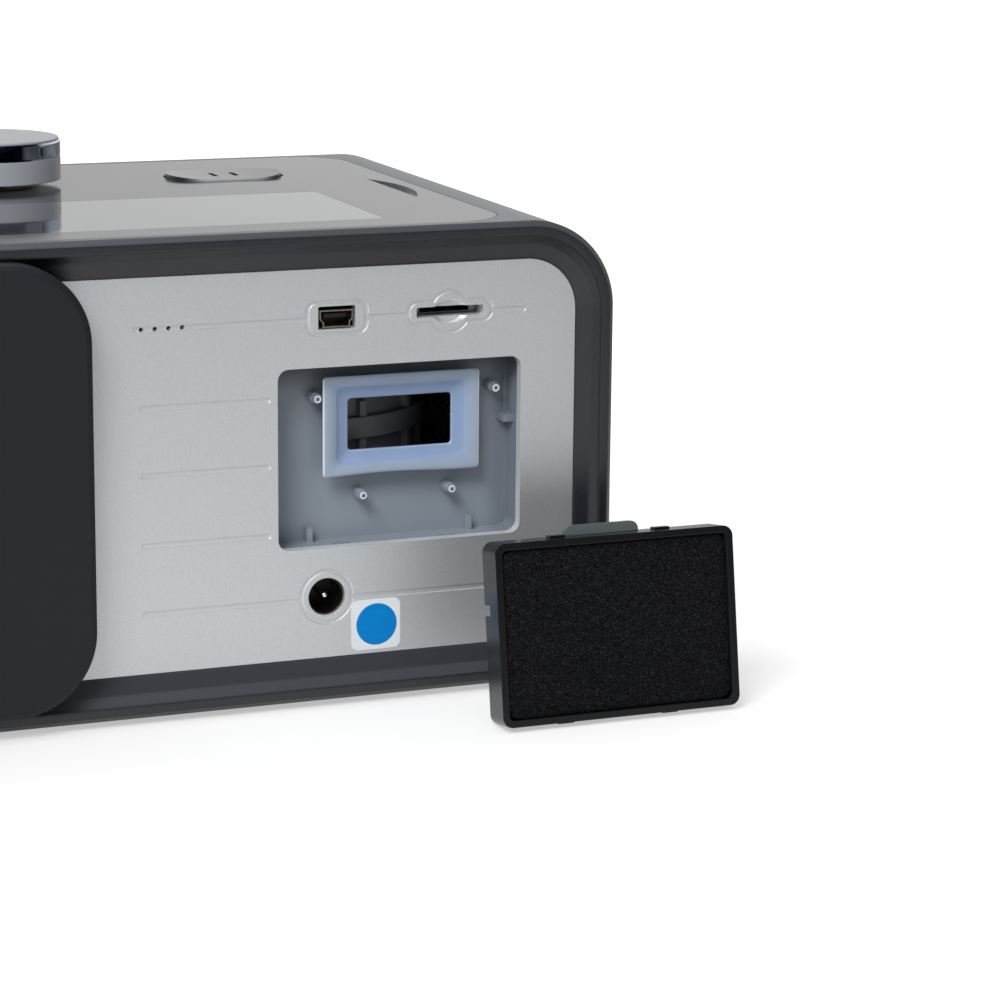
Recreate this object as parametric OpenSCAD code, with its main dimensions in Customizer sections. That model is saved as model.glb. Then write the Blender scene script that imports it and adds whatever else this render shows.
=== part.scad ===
// Positive airway pressure machine with a heated humidifier, seen from its rear (-Y) side.
// A wraparound housing carries a silver rear panel with an open filter bay, a dark rear
// cover with the hose outlet, a glossy top with a display, two buttons and a knob, and a
// water tank that slides out towards the user (+Y). The filter cartridge stands taken out.

/* [Housing] */
// Width of the wraparound housing
house_w = 235.6; // [225:0.1:260]
// Height of the housing without its feet
house_h = 104.2; // [103:0.1:115]
// Depth of the housing from rim to rim
house_d = 131; // [128:0.5:150]
// Outer corner radius of the housing
house_r = 20; // [18:0.5:23]
// Wall of the housing
wall = 2.6; // [2:0.1:3]
// Height of the rims beyond the end panels
rim_stand = 4; // [3:0.1:5]
// Width of the rim above and below an end panel
rim_z = 8.75; // [8:0.05:10]
// Width of the rim beside an end panel
rim_x = 7.8; // [7:0.05:9]
// Flat outer lip of a rim
lip_w = 3.2; // [2.5:0.1:3.8]
// Ledge behind an end panel
ledge_w = 3.2; // [2:0.1:4]

/* [Panels] */
// Thickness of the end panels
panel_t = 2.5; // [2:0.1:3]
// Left edge of the silver rear panel, under the rear cover
split_x = -8; // [-12:0.5:-6]
// Margin between the top panel and the rims
top_margin_y = 3.5; // [3:0.1:5]
// Margin between the top panel and the sides of the housing
top_margin_x = 22.9; // [20:0.1:24]
// Corner radius of the top panel
top_r = 13; // [10:0.5:16]
// Thickness of the top panel
top_t = 1.6; // [1.4:0.1:1.8]

/* [Filter bay] */
// Width of the filter opening
filter_w = 56.55; // [55:0.05:58]
// Height of the filter opening
filter_h = 40.15; // [39:0.05:42]
// Centre of the filter opening, in from the housing's right side
filter_x = 49; // [46.8:0.1:50.8]
// Centre of the filter opening, height above the surface
filter_z = 55.2; // [54:0.1:58]
// Depth of the bay from the panel's face
bay_depth = 9.5; // [9.5:0.1:10.5]
// Corner radius of the filter opening
filter_r = 2.5; // [2:0.1:3.5]
// Width of the air window in the inlet seal
window_w = 24.2; // [22:0.1:26]
// Height of the air window in the inlet seal
window_h = 11.5; // [10:0.1:12.5]
// Centre of the seal, right of the opening's centre
seal_dx = 2; // [0:0.1:3]
// Centre of the seal, above the opening's centre
seal_dz = 5.8; // [5:0.1:6.5]
// Length of the four stand-off posts
post_l = 4.8; // [4:0.1:5.4]

/* [Filter cartridge] */
// Depth of the cartridge
cart_d = 7.6; // [6.8:0.1:7.8]
// Clearance between the cartridge and its bay, each side
cart_clear = 0.2; // [0.15:0.05:0.4]
// Lower clip's height, which leans the cartridge back
clip_h = 0.6; // [0.5:0.05:1.2]
// Left edge of the cartridge where it stands
cart_x = 79.2; // [76:0.2:90]
// Rear foot edge of the cartridge where it stands
cart_y = -28.8; // [-40:0.2:-22]

/* [Knob and buttons] */
// Radius of the knob
knob_r = 16.4; // [14:0.1:17]
// Gap below the knob
knob_gap = 1.5; // [1.5:0.1:2.5]
// Height of the knob's lower body
knob_body_h = 5.4; // [4.5:0.1:6.5]
// Height of the bright band
band_h = 3.8; // [3:0.1:4.5]
// Height of the knob's domed cap
cap_h = 1; // [0.8:0.1:2.4]
// Distance of the knob and buttons from the top panel's front edge
control_y = 31.5; // [29.5:0.5:35.5]
// Distance of each button from the knob
button_x = 56.8; // [50:0.2:60]
// Length of a button
button_w = 28.2; // [24:0.2:30]
// Width of a button
button_d = 20; // [16:0.2:22]
// Height of a button's ends over the top panel
button_stand = 0.9; // [0.6:0.1:1.4]
// Dip of a button's middle below its ends
button_dip = 0.6; // [0.3:0.1:0.8]
// Travel of the buttons and the knob
press_travel = 0.8; // [0.5:0.1:1]

/* [Display] */
// Width of the display window
display_w = 137; // [120:0.5:150]
// Depth of the display window
display_d = 47.5; // [40:0.5:50]
// Rear edge of the display window
display_y = 10; // [9:0.5:14]

/* [Blower] */
// Centre of the blower, left of the sound box's middle
blower_x = 2; // [0:0.5:4]
// Centre of the blower, depth
blower_y = 46; // [45.5:0.5:48]
// Height of the blower's middle
blower_z = 53; // [51:0.5:54]
// Radius of the flange
flange_r = 31; // [30:0.5:32]
// Half height of the blower's scroll
scroll_h = 13; // [12:0.5:14]
// Radius of the impeller
impeller_r = 24; // [22:0.5:25]
// Blades on the impeller
blade_n = 11; // [7:1:15]
// Bore of the air path
air_r = 9.2; // [8.5:0.1:9.5]

/* [Humidifier] */
// Left edge of the rear cover, in from the housing's side
cover_out = 3.4; // [3.3:0.1:3.8]
// Right edge of the rear cover
cover_x = -2; // [-4:0.5:-1]
// How far the rear cover stands beyond the rim
cover_stand = 4; // [3:0.1:5]
// Outer radius of the hose outlet, which takes a 22 mm hose cuff
outlet_r = 11; // [11:0.1:11.2]
// How far the hose outlet reaches behind the rear cover
outlet_l = 22; // [18:0.5:26]
// Width of the water tank
tank_w = 94; // [88:0.5:96]
// Height of the water tank's top lid
tank_top = 68; // [66:0.5:70]
// Front of the dock wall that the tank's ports meet
dock_y = 46; // [46:0.5:50]
// Radius of the heater plate
heater_r = 26; // [22:0.5:27]
// Wall of the tank and its bay
tank_wall = 2; // [1.8:0.1:2.4]

/* [Feet] */
// Height of the feet below the housing
foot_h = 1.5; // [1:0.1:3]
// Radius of a foot
foot_r = 7; // [5:0.5:9]

/* [Hidden] */

$fn = 64;
e = 0.01;
seat = 0.3;              // running gap between pieces that seat loosely
slip = 0.05;             // radial clearance of a running shaft
fit = 0.1;               // clearance of a panel in its pocket

// Housing levels
z0 = foot_h;
z1 = foot_h + house_h;
zc = (z0 + z1) / 2;
y0 = -rim_stand;
y1 = y0 + house_d;
front_y = y1 - rim_stand;          // face of the front panel
panel_w = house_w - 2 * rim_x;
panel_x = panel_w / 2;
ledge_t = 2;
ledge_y = panel_t + ledge_t;
step_d = 0.7;                      // step inside the outer lip

// Top
top_w = house_w - 2 * top_margin_x;
top_y0 = y0 + top_margin_y;
top_y1 = y1 - top_margin_y;
top_z = z1 - top_t;                // underside of the top panel
top_gap = 0.15;                    // gap round the top panel
control_cy = top_y1 - control_y;   // centre line of the knob and buttons

// Filter bay and seal
bay_wall = 1.8;
bay_clear = 0.25;
bay_back = bay_depth + bay_wall;   // rear face of the bay, against the sound box
filter_cx = house_w / 2 - filter_x;
seal_x = filter_cx + seal_dx;
seal_z = filter_z + seal_dz;
seal_lip = 6.2;                    // lip around the window
seal_y = bay_depth - post_l + 0.2;
seal_t = 1.3;
tail_w = window_w + 6.8;           // duct behind the seal, wider than its window
tail_h = window_h + 5.6;
tail_r = 2;
tail_t = 1.2;

// Cartridge
cart_w = filter_w - 2 * cart_clear;
cart_h = filter_h - 2 * cart_clear;
cart_r = filter_r - cart_clear;
cart_wall = 1.5;
foam_sink = 0.6;
foam_t = 2.4;
clip_x = 12.4;                     // clips either side of the middle
clip_w = 3.6;
rib_x = 18.8;                      // floor ribs of the bay either side of the middle
rib_w = 1.4;
rib_h = 3.2;
rib_l = 2.6;
tab_x = 0.49 * cart_w;             // pull tab
tab_w = 17.6;
tab_h = 2.2;
tab_t = 1.4;
clip_y0 = panel_t + 0.25;          // clips catch behind the rear panel
clip_y1 = clip_y0 + 1.2;
lean = atan(clip_h / (cart_d - clip_y1));
block_dz = 5.1;                    // height of the bay's side blocks over its centre
block_w = 2.4;
block_h = 1.7;
block_l = 4.6;

// Sound box around the blower
box_wall = 1.8;
box_x0 = 14;
box_x1 = panel_x - 4;
box_y1 = 100;
box_z1 = 79;
floor_z = z0 + wall;
box_floor_z = floor_z + seat;      // the box stands on its screw bosses
foam_w = 7;
blower_cx = (box_x0 + box_x1) / 2 - blower_x;
pipe_y = blower_y - 17.5;
flange_dz = 2.6;                   // flange around the scroll, over its middle
flange_t = 4.8;
stub_r = air_r + 1.3;
stub_x = blower_cx - 36;
cuff_r = stub_r + 1.6;
cuff_l = 4.5;                      // length of the pipe's cuff over the blower's stub

// Rear cover and hose outlet
cover_x0 = cover_out - house_w / 2;
cover_w = cover_x - cover_x0;
cover_cx = (cover_x + cover_x0) / 2;
cover_z0 = z0 + lip_w + 0.3;
cover_z1 = z1 - lip_w - 0.3;
cover_y0 = y0 - cover_stand;
shoulder_r = outlet_r + 1.6;

// Tank and its dock
tank_gap = 0.5;
dock_t = 2;
tank_x0 = rim_x + ledge_w + fit + dock_t + tank_gap - house_w / 2;
tank_x1 = tank_x0 + tank_w;
tank_cx = (tank_x0 + tank_x1) / 2;
tank_x = tank_cx - 1;              // hose outlet and the tank's air outlet
tank_z0 = z0 + rim_z + 4.25;
dock_r = 3.5;                      // outer corners of the dock
dock_in_r = 1;                     // its inner corners, clear of the tank's square edges
dock_y0 = dock_y - dock_t;
tank_y0 = dock_y + 6;
tank_y1 = front_y - 11.5;          // rear of the tank's front block
port_x = tank_x1 - 19.8;           // tank's air inlet
port_z = blower_z;
dock_x0 = tank_x0 - tank_gap;
dock_x1 = tank_x1 + tank_gap;
dock_z0 = tank_z0 - tank_gap;
dock_z1 = tank_top + tank_gap + 1.6;
dock_w = dock_x1 - dock_x0;
dock_h = dock_z1 - dock_z0;
dock_cz = (dock_z0 + dock_z1) / 2;
dock_end = front_y - ledge_y;
leg_x = 12;                        // dock legs and their screws, in from the sides
leg_y = 26;                        // and from the dock's end
lid_t = 3.2;
gasket_t = 0.8;
shell_top = tank_top - lid_t - gasket_t;
tank_r = 6;
drawer_w = tank_w + 3;
drawer_z0 = tank_z0 - 1;
drawer_z1 = tank_top + 1.8;
drawer_r = 7.5;
drawer_gap = 0.4;
latch_w = 16;
latch_h = 7;
latch_z = drawer_z1 - 8;
latch_travel = 1.5;
pocket_y = front_y - 8;            // bottom of the latch's pocket
grip_w = 46;
grip_h = 17;
grip_d = 8.5;
grip_dz = 4;                       // grip and level window below the drawer's middle
level_w = 8;                       // level window
level_h = 26;
level_x = tank_x0 + 11;
heater_y = (tank_y0 + tank_y1) / 2;
base_r = heater_r;

// Sockets and tracks of the rear panel
port_pitch_x = filter_cx - 14.8;
port_line_z = 86.1;
card_x = filter_cx + 11.4;
card_w = 15.7;
card_h = 2.25;
usb_w = 8.5;
usb_h = 5;
jack_x = filter_cx - 17.2;
jack_z = 24.1;
jack_hole_r = 4.25;
jack_r = 3.85;
track_w = 1.2;
track_d = 0.3;
track_x0 = 9.8;
track_x1 = panel_x - 11.9;
short_track_x1 = filter_cx - 29.9;
short_track_z = [68.8, 54.1, 38.7];
track_dc_z = 23.6;
hole_x = [10.5, 13.5, 16.5, 19.5];
label_x = filter_cx - 5.8;
label_z = 16.9;
label_w = 11.4;

// Knob and controls
knob_z = z1 + knob_gap;
board_t = 1.6;
board_z = top_z - 13.7;            // top of the control board
shaft_r = 3;
bush_r = 4.9;
hub_r = 11.7;
collar_h = 0.3;                    // collar on the panel, under the knob
hub_drop = 0.1;                    // how far the knob's hub reaches below its body
band_in = knob_r - 1.8;
button_gap = 0.4;
button_r = button_d / 2 - 0.1;
switch_h = 5.5;
control_half = top_w / 2 - 12.9;   // half width of the control board
control_back = 14;                 // its edges behind and before the knob's centre
control_front = 19;
boss_x = top_w / 2 - 18.9;         // bosses that it hangs from
boss_in_x = 20;
boss_r = 2.6;

// Boards
usb_z = port_line_z - 0.3;         // middle of the mini socket
usb_half = 1.95;
port_board_z = usb_z - usb_half;
main_z = dock_z1 + dock_t + 4;

// Screws through the housing's base
screw_r = 1.45;
screw_l = 6;
screw_sink = 1.5;
box_screws = [[box_x0 + 10, box_y1 - 16], [box_x1 - 16, box_y1 - 16]];
dock_screws = [[dock_x0 + leg_x, dock_end - leg_y], [dock_x1 - leg_x, dock_end - leg_y]];

// Origin: the middle of everything's footprint on the surface
cart_front = cart_y - cart_d * cos(lean);
x_low = -house_w / 2;
x_high = max(house_w / 2, cart_x + cart_w);
y_low = min(cart_front, cover_y0 - outlet_l);
y_high = y1;
origin_x = (x_low + x_high) / 2;
origin_y = (y_low + y_high) / 2;

// --- helpers -------------------------------------------------------------------------

// Rounded rectangle centred on the origin
module rrect(w, h, r) {
    square([w - 2 * r, h], center = true);
    square([w, h - 2 * r], center = true);
    for (sx = [-1, 1], sy = [-1, 1])
        translate([sx * (w / 2 - r), sy * (h / 2 - r)]) circle(r);
}

// Extrusion along +Y of a shape drawn in X and Z, from y_from over a length
module along_y(y_from, length) {
    translate([0, y_from + length, 0]) rotate([90, 0, 0]) linear_extrude(length) children();
}

// Rounded slab in the X-Z plane
module slab_y(w, h, r, y_from, length, x = 0, z = 0) {
    along_y(y_from, length) translate([x, z]) rrect(w, h, r);
}

// Rounded slab lying in the X-Y plane
module slab_z(w, d, r, z_from, height, x = 0, y = 0) {
    translate([x, y, z_from]) linear_extrude(height) rrect(w, d, r);
}

module rod_y(r, y_from, length, x = 0, z = 0) {
    translate([x, y_from + length, z]) rotate([90, 0, 0]) cylinder(r = r, h = length);
}

module rod_x(r, x_from, length, y = 0, z = 0) {
    translate([x_from, y, z]) rotate([0, 90, 0]) cylinder(r = r, h = length);
}

module box(x_a, x_b, y_a, y_b, z_a, z_b) {
    translate([x_a, y_a, z_a]) cube([x_b - x_a, y_b - y_a, z_b - z_a]);
}

module machine() {
    translate([-origin_x, -origin_y, 0]) children();
}

// Outline of the housing, drawn in by dx at the sides and dz above and below
module house_outline(dx, dz) {
    translate([0, zc]) rrect(house_w - 2 * dx, house_h - 2 * dz, house_r - (dx + dz) / 2);
}

// --- housing -------------------------------------------------------------------------

module rim_cove(side) {
    // Step inside the lip, then a hollow slope down to the end panel
    end_y = side < 0 ? y0 : y1;
    steps = [[lip_w, step_d], [lip_w + 1.4, rim_stand * 0.62], [rim_x, rim_stand]];
    along_y(side < 0 ? end_y - e : end_y - step_d, step_d + e) house_outline(lip_w, lip_w);
    for (i = [0, 1]) hull() {
        for (j = [i, i + 1])
            along_y(end_y - side * steps[j][1] - (side < 0 ? e : 0), e)
                house_outline(steps[j][0], steps[j][0] + (rim_z - rim_x) * j / 2);
    }
}

module sleeve() {
    edge = 1.2;
    color([0.18, 0.19, 0.21]) machine() difference() {
        union() {
            along_y(y0 + edge, house_d - 2 * edge) house_outline(0, 0);
            hull() {
                along_y(y0, e) house_outline(edge, edge);
                along_y(y0 + edge, e) house_outline(0, 0);
            }
            hull() {
                along_y(y1 - e, e) house_outline(edge, edge);
                along_y(y1 - edge - e, e) house_outline(0, 0);
            }
        }
        rim_cove(-1);
        rim_cove(1);
        // Pockets for the end panels, ledges behind them, and the hollow between
        along_y(-e, panel_t + e) house_outline(rim_x, rim_z);
        along_y(front_y - panel_t, panel_t + e) house_outline(rim_x, rim_z);
        along_y(0, front_y) house_outline(rim_x + ledge_w, rim_z + ledge_w);
        along_y(ledge_y, front_y - 2 * ledge_y) house_outline(wall, wall);
        // Seat and opening of the top panel
        slab_z(top_w, top_y1 - top_y0, top_r, top_z, top_t + e, 0, (top_y0 + top_y1) / 2);
        slab_z(top_w - 5, top_y1 - top_y0 - 17, top_r - 2.5, top_z - wall, wall + e,
            0, (top_y0 + top_y1) / 2);
        foot_places() translate([0, 0, z0 - e]) cylinder(r = foot_r + 0.1, h = 0.8 + e);
        screws_at(concat(box_screws, dock_screws)) {
            translate([0, 0, z0 - e]) cylinder(r = 3.1, h = screw_sink + e);
            translate([0, 0, z0]) cylinder(r = screw_r + 0.15, h = wall + e);
        }
    }
}

module foot_places() {
    for (sx = [-1, 1], y = [y0 + 19, y1 - 19])
        translate([sx * (house_w / 2 - house_r - foot_r - 1), y, 0]) children();
}

module feet() {
    color([0.12, 0.12, 0.13]) machine() foot_places() {
        cylinder(r = foot_r - 0.6, h = foot_h);
        translate([0, 0, 0.6]) cylinder(r = foot_r, h = foot_h + 0.2);
    }
}

module screws_at(places) {
    for (p = places) translate([p[0], p[1], 0]) children();
}

module case_screws() {
    color([0.6, 0.6, 0.62]) machine() screws_at(concat(box_screws, dock_screws)) difference() {
        union() {
            translate([0, 0, z0 + 0.1]) cylinder(r = 2.8, h = screw_sink - 0.1);
            translate([0, 0, z0 + screw_sink]) cylinder(r = screw_r, h = screw_l);
        }
        translate([0, 0, z0 - e]) cylinder(r = 1.4, h = 0.9, $fn = 6);
    }
}

// --- rear panel and its sockets ------------------------------------------------------

// Bar with round ends
module pill(x_a, x_b, z, w) {
    translate([x_a + w / 2, z - w / 2]) square([x_b - x_a - w, w]);
    for (x = [x_a + w / 2, x_b - w / 2]) translate([x, z]) circle(w / 2);
}

module rear_tracks() {
    along_y(-e, track_d + e) difference() {
        union() {
            pill(track_x0 - 1.2, track_x1, port_line_z - 0.3, track_w);
            for (z = short_track_z) pill(track_x0, short_track_x1, z, track_w);
            pill(track_x0, track_x1, track_dc_z, track_w);
            translate([port_pitch_x, port_line_z]) rrect(usb_w + 6, usb_h + 2.6, 2.4);
            translate([card_x, port_line_z]) rrect(card_w + 4.6, card_h + 3.2, 2.6);
            translate([card_x, port_line_z]) circle(4.9);
            translate([jack_x, jack_z]) circle(jack_hole_r + 2);
        }
        translate([port_pitch_x, port_line_z]) rrect(usb_w + 4, usb_h + 1.2, 1.7);
        translate([card_x, port_line_z]) rrect(card_w + 3, card_h + 1.8, 1.9);
        translate([card_x, port_line_z]) circle(4.2);
        translate([jack_x, jack_z]) circle(jack_hole_r + 1.2);
    }
}

// Finger scoop over the card slot: two slanting rods that meet in an ellipse on the face
module card_scoop() {
    scoop_h = 2.6;
    scoop_w = 4.3;
    tilt = asin(scoop_h / scoop_w);
    intersection() {
        translate([card_x, 0, port_line_z]) rotate([0, 0, 90 - tilt]) rotate([90, 0, 0])
            cylinder(r = scoop_h, h = 16, center = true);
        translate([card_x, 0, port_line_z]) rotate([0, 0, tilt - 90]) rotate([90, 0, 0])
            cylinder(r = scoop_h, h = 16, center = true);
        box(card_x - 8, card_x + 8, -e, 0.9, port_line_z - 5, port_line_z + 5);
    }
}

module rear_panel() {
    color([0.74, 0.75, 0.76]) machine() difference() {
        intersection() {
            along_y(0, panel_t) house_outline(rim_x + fit, rim_z + fit);
            box(split_x, house_w, -1, panel_t + 1, 0, z1);
        }
        slab_y(filter_w, filter_h, filter_r, -1, panel_t + 2, filter_cx, filter_z);
        slab_y(card_w, card_h, 0.4, -1, panel_t + 2, card_x, port_line_z);
        slab_y(usb_w, usb_h, 0.3, -1, panel_t + 2, port_pitch_x, port_line_z);
        rod_y(jack_hole_r, -1, panel_t + 2, jack_x, jack_z);
        for (x = hole_x) rod_y(0.52, -1, panel_t + 2, x, port_line_z - 0.4);
        rear_tracks();
        card_scoop();
    }
}

module panel_label() {
    color([0.1, 0.5, 0.8]) machine()
        slab_y(label_w, label_w, 1.6, -0.15, 0.15, label_x, label_z);
}

module port_board() {
    color([0.1, 0.35, 0.2]) machine() difference() {
        box(port_pitch_x - 12, card_x + 14, panel_t + 0.2, 32, port_board_z - board_t,
            port_board_z);
        for (x = [port_pitch_x - 8, card_x + 10], y = [16, 28])
            translate([x, y, 0]) cylinder(r = 1.2, h = z1);
    }
}

// Mini socket: a bright shell with drawn-in lower sides
module usb_outline(g) {
    w = 3.85 - g;
    h = usb_half - g;
    polygon([[-w, h], [w, h], [w, -0.1], [w - 0.7, -0.8], [w - 0.7, -h], [0.7 - w, -h],
        [0.7 - w, -0.8], [-w, -0.1]]);
}

module usb_shell() {
    color([0.72, 0.72, 0.72]) machine() translate([port_pitch_x, 0, usb_z])
        difference() {
            along_y(0.4, 9) usb_outline(0);
            along_y(0, 8.8) usb_outline(0.35);
        }
}

module usb_tongue() {
    color([0.08, 0.08, 0.08]) machine() translate([port_pitch_x, 0, usb_z]) {
        box(-2.5, 2.5, 1.6, 9.2 - 0.4, 0.1, 1);
        for (i = [-2 : 2]) box(i * 0.8 - 0.2, i * 0.8 + 0.2, 1.9, 8, -0.1, 0.1);
    }
}

module card_reader() {
    z = port_line_z;
    color([0.7, 0.7, 0.7]) machine() difference() {
        box(card_x - 8.4, card_x + 8.4, panel_t + 0.1, 17, port_board_z, z + 1.6);
        box(card_x - 5.8, card_x + 5.8, 0, 15.5, z - 0.6, z + 0.5);
        box(card_x - 7.4, card_x + 7.4, 0, 4, z - 0.9, z + 0.9);
    }
}

module power_jack() {
    color([0.07, 0.07, 0.07]) machine() difference() {
        union() {
            rod_y(jack_hole_r - 0.05, 1, panel_t - 1 + e, jack_x, jack_z);
            rod_y(6, panel_t, bay_back - panel_t - 0.2, jack_x, jack_z);
        }
        rod_y(jack_r, 0, 9.4, jack_x, jack_z);
    }
}

module power_pin() {
    color([0.85, 0.75, 0.45]) machine() {
        rod_y(0.65, 1.9, 7.5, jack_x, jack_z);
        translate([jack_x, 1.9, jack_z]) sphere(r = 0.65);
    }
}

// --- filter bay ----------------------------------------------------------------------

module filter_bay() {
    bw = filter_w + 2 * bay_clear;
    bh = filter_h + 2 * bay_clear;
    step_w = 0.9;
    step_l = 0.5;
    color([0.45, 0.48, 0.52]) machine() {
        difference() {
            union() {
                slab_y(bw + 2 * bay_wall, bh + 2 * bay_wall, filter_r + bay_wall, panel_t,
                    bay_back - panel_t, filter_cx, filter_z);
                slab_y(bw + 8, bh + 8, filter_r + 4, panel_t, 1.5, filter_cx, filter_z);
            }
            slab_y(bw, bh, filter_r, 0, bay_depth, filter_cx, filter_z);
            slab_y(tail_w + 0.2, tail_h + 0.2, tail_r, 0, bay_back + 1, seal_x, seal_z);
            // Slots in the floor and the ceiling for the cartridge's clips
            for (sx = [-1, 1], sz = [-1, 1]) translate([filter_cx + sx * clip_x, 0, filter_z])
                box(-2.1, 2.1, clip_y0 - seat, clip_y1 + 1 + seat,
                    sz > 0 ? 0 : -bh / 2 - clip_h, sz > 0 ? bh / 2 + clip_h : 0);
            // Slot in the ceiling for the pull tab
            box(filter_cx - cart_w / 2 + tab_x - tab_w / 2 - 1, filter_cx - cart_w / 2 + tab_x
                + tab_w / 2 + 1, cart_d - tab_t - 0.6, cart_d + 0.6, filter_z, filter_z + bh);
        }
        // Four posts that hold the foam off the seal
        for (p = [[-17.6, 12.2], [24.2, 12.2], [-7, -10.1], [13.9, -10.1]])
            translate([filter_cx + p[0], 0, filter_z + p[1]]) {
                rod_y(1.2, bay_depth - post_l + 1.4, post_l - 1.4);
                rod_y(0.95, bay_depth - post_l, post_l);
            }
        // Ribs on the floor and snap blocks on the sides
        for (sx = [-1, 1]) {
            x_rib = filter_cx + sx * rib_x;
            box(x_rib - rib_w / 2, x_rib + rib_w / 2, bay_depth - rib_l, bay_depth,
                filter_z - bh / 2, filter_z - bh / 2 + rib_h);
            x_wall = filter_cx + sx * bw / 2;
            box(min(x_wall, x_wall - sx * block_w), max(x_wall, x_wall - sx * block_w),
                bay_depth - block_l, bay_depth, filter_z + block_dz - block_h / 2,
                filter_z + block_dz + block_h / 2);
        }
        // Drafted step along the side walls
        for (sx = [-1, 1]) {
            x_wall = filter_cx + sx * bw / 2;
            box(min(x_wall, x_wall - sx * step_w), max(x_wall, x_wall - sx * step_w),
                bay_depth - step_l, bay_depth, filter_z - bh / 2 + 1, filter_z + bh / 2 - 1);
        }
    }
}

module inlet_seal() {
    lip_x = window_w + 2 * seal_lip;
    lip_z = window_h + 2 * seal_lip - 1.8;
    color([0.55, 0.68, 0.85]) machine() difference() {
        union() {
            slab_y(lip_x, lip_z, 1.4, seal_y, 0.7, seal_x, seal_z);
            slab_y(lip_x - 4.6, lip_z - 4.6, 1.4, seal_y + 0.7, seal_t, seal_x, seal_z);
            slab_y(tail_w, tail_h, tail_r, seal_y + 0.7, bay_back - seal_y - 0.7, seal_x,
                seal_z);
        }
        slab_y(lip_x - 5.2, lip_z - 5.2, 1.2, seal_y - 1, 1 + 0.5, seal_x, seal_z);
        slab_y(window_w, window_h, 0.8, 0, bay_depth, seal_x, seal_z);
        slab_y(tail_w - 2 * tail_t, tail_h - 2 * tail_t, tail_r - 0.8, seal_y + 0.7 + seal_t,
            bay_depth, seal_x, seal_z);
    }
}

// --- filter cartridge ----------------------------------------------------------------

// Stands on its rear foot edge and its two lower clips, so it leans back
module cartridge_place() {
    translate([cart_x, cart_y, 0]) rotate([-lean, 0, 0]) translate([0, -cart_d, 0])
        children();
}

module filter_frame() {
    cx = cart_w / 2;
    cz = cart_h / 2;
    color([0.14, 0.16, 0.18]) machine() cartridge_place() difference() {
        union() {
            difference() {
                slab_y(cart_w, cart_h, cart_r, 0, cart_d, cx, cz);
                slab_y(cart_w - 2 * cart_wall, cart_h - 2 * cart_wall, 1.2, -1,
                    cart_d + 2, cx, cz);
            }
            // Ledge behind the foam
            difference() {
                slab_y(cart_w - 1, cart_h - 1, 1.8, foam_sink + foam_t + 0.05, 1, cx, cz);
                slab_y(cart_w - 2 * cart_wall - 3, cart_h - 2 * cart_wall - 3, 1, 0, cart_d,
                    cx, cz);
            }
            for (sx = [-1, 1]) {
                box(cx + sx * clip_x - clip_w / 2, cx + sx * clip_x + clip_w / 2, clip_y0,
                    clip_y1, -clip_h, cart_wall);
                box(cx + sx * clip_x - clip_w / 2, cx + sx * clip_x + clip_w / 2, clip_y0,
                    clip_y1 + 1, cart_h - cart_wall, cart_h + clip_h);
            }
        }
        // Notches that clear the bay's ribs and snap blocks
        for (sx = [-1, 1]) box(cx + sx * rib_x - rib_w, cx + sx * rib_x + rib_w,
            bay_depth - rib_l - seat, cart_d + 1, -1, rib_h + seat);
        for (x = [0, cart_w]) box(x - block_w, x + block_w, bay_depth - block_l - seat,
            cart_d + 1, cz + block_dz - block_h / 2 - 0.4, cz + block_dz + block_h / 2 + 0.4);
    }
}

module filter_foam() {
    color([0.05, 0.05, 0.05]) machine() cartridge_place()
        slab_y(cart_w - 2 * cart_wall - 0.1, cart_h - 2 * cart_wall - 0.1, 1.1, foam_sink,
            foam_t, cart_w / 2, cart_h / 2);
}

module filter_tab() {
    color([0.4, 0.44, 0.44]) machine() cartridge_place() difference() {
        slab_y(tab_w, 2 * tab_h, tab_h - 0.4, cart_d - tab_t, tab_t, tab_x, cart_h);
        box(tab_x - tab_w, tab_x + tab_w, 0, 2 * cart_d, 0, cart_h);
    }
}

// --- sound box and blower ------------------------------------------------------------

// Space drawn in by g from the sound box's outside, whose corner follows the housing
module box_space(g, top, corner_gap = 0) {
    off = wall + seat + corner_gap + g;
    intersection() {
        box(box_x0 + g, box_x1 - g, bay_back + g, box_y1 - g, box_floor_z + g, top);
        along_y(0, front_y) house_outline(off, off);
    }
}

module sound_box() {
    color([0.2, 0.21, 0.22]) machine() difference() {
        union() {
            difference() {
                box_space(0, box_z1);
                box_space(box_wall, box_z1 + 1);
            }
            screws_at(box_screws) translate([0, 0, floor_z]) cylinder(r = 4, h = 7);
        }
        slab_y(tail_w + 3, tail_h + 2, tail_r, bay_back - 1, box_wall + 2, seal_x, seal_z);
        rod_x(cuff_r + 0.1, box_x0 - 1, box_wall + 2, pipe_y, port_z);
        screws_at(box_screws) translate([0, 0, z0]) cylinder(r = screw_r + slip,
            h = screw_sink + screw_l + 0.5);
    }
}

module sound_box_lid() {
    color([0.22, 0.23, 0.24]) machine() {
        box(box_x0, box_x1, bay_back, box_y1, box_z1, box_z1 + 1.6);
        for (x = [port_pitch_x - 8, card_x + 10], y = [16, 28]) translate([x, y, 0]) {
            translate([0, 0, box_z1]) cylinder(r = 2.4, h = port_board_z - board_t - box_z1);
            translate([0, 0, box_z1]) cylinder(r = 1.1, h = port_board_z - box_z1 + 0.3);
        }
    }
}

module chamber_foam() {
    y_a = bay_back + box_wall;
    x_b = box_x1 - box_wall;
    color([0.06, 0.06, 0.06]) machine() intersection() {
        box_space(box_wall, box_z1, seat);
        union() {
            box(x_b - foam_w, x_b, y_a, box_y1, floor_z, box_z1);
            box(box_x0, x_b, box_y1 - box_wall - foam_w, box_y1, floor_z, box_z1);
        }
    }
}

module blower_lugs() {
    for (a = [45 : 90 : 315]) rotate([0, 0, a]) translate([flange_r + 2, 0, 0]) children();
}

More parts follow.
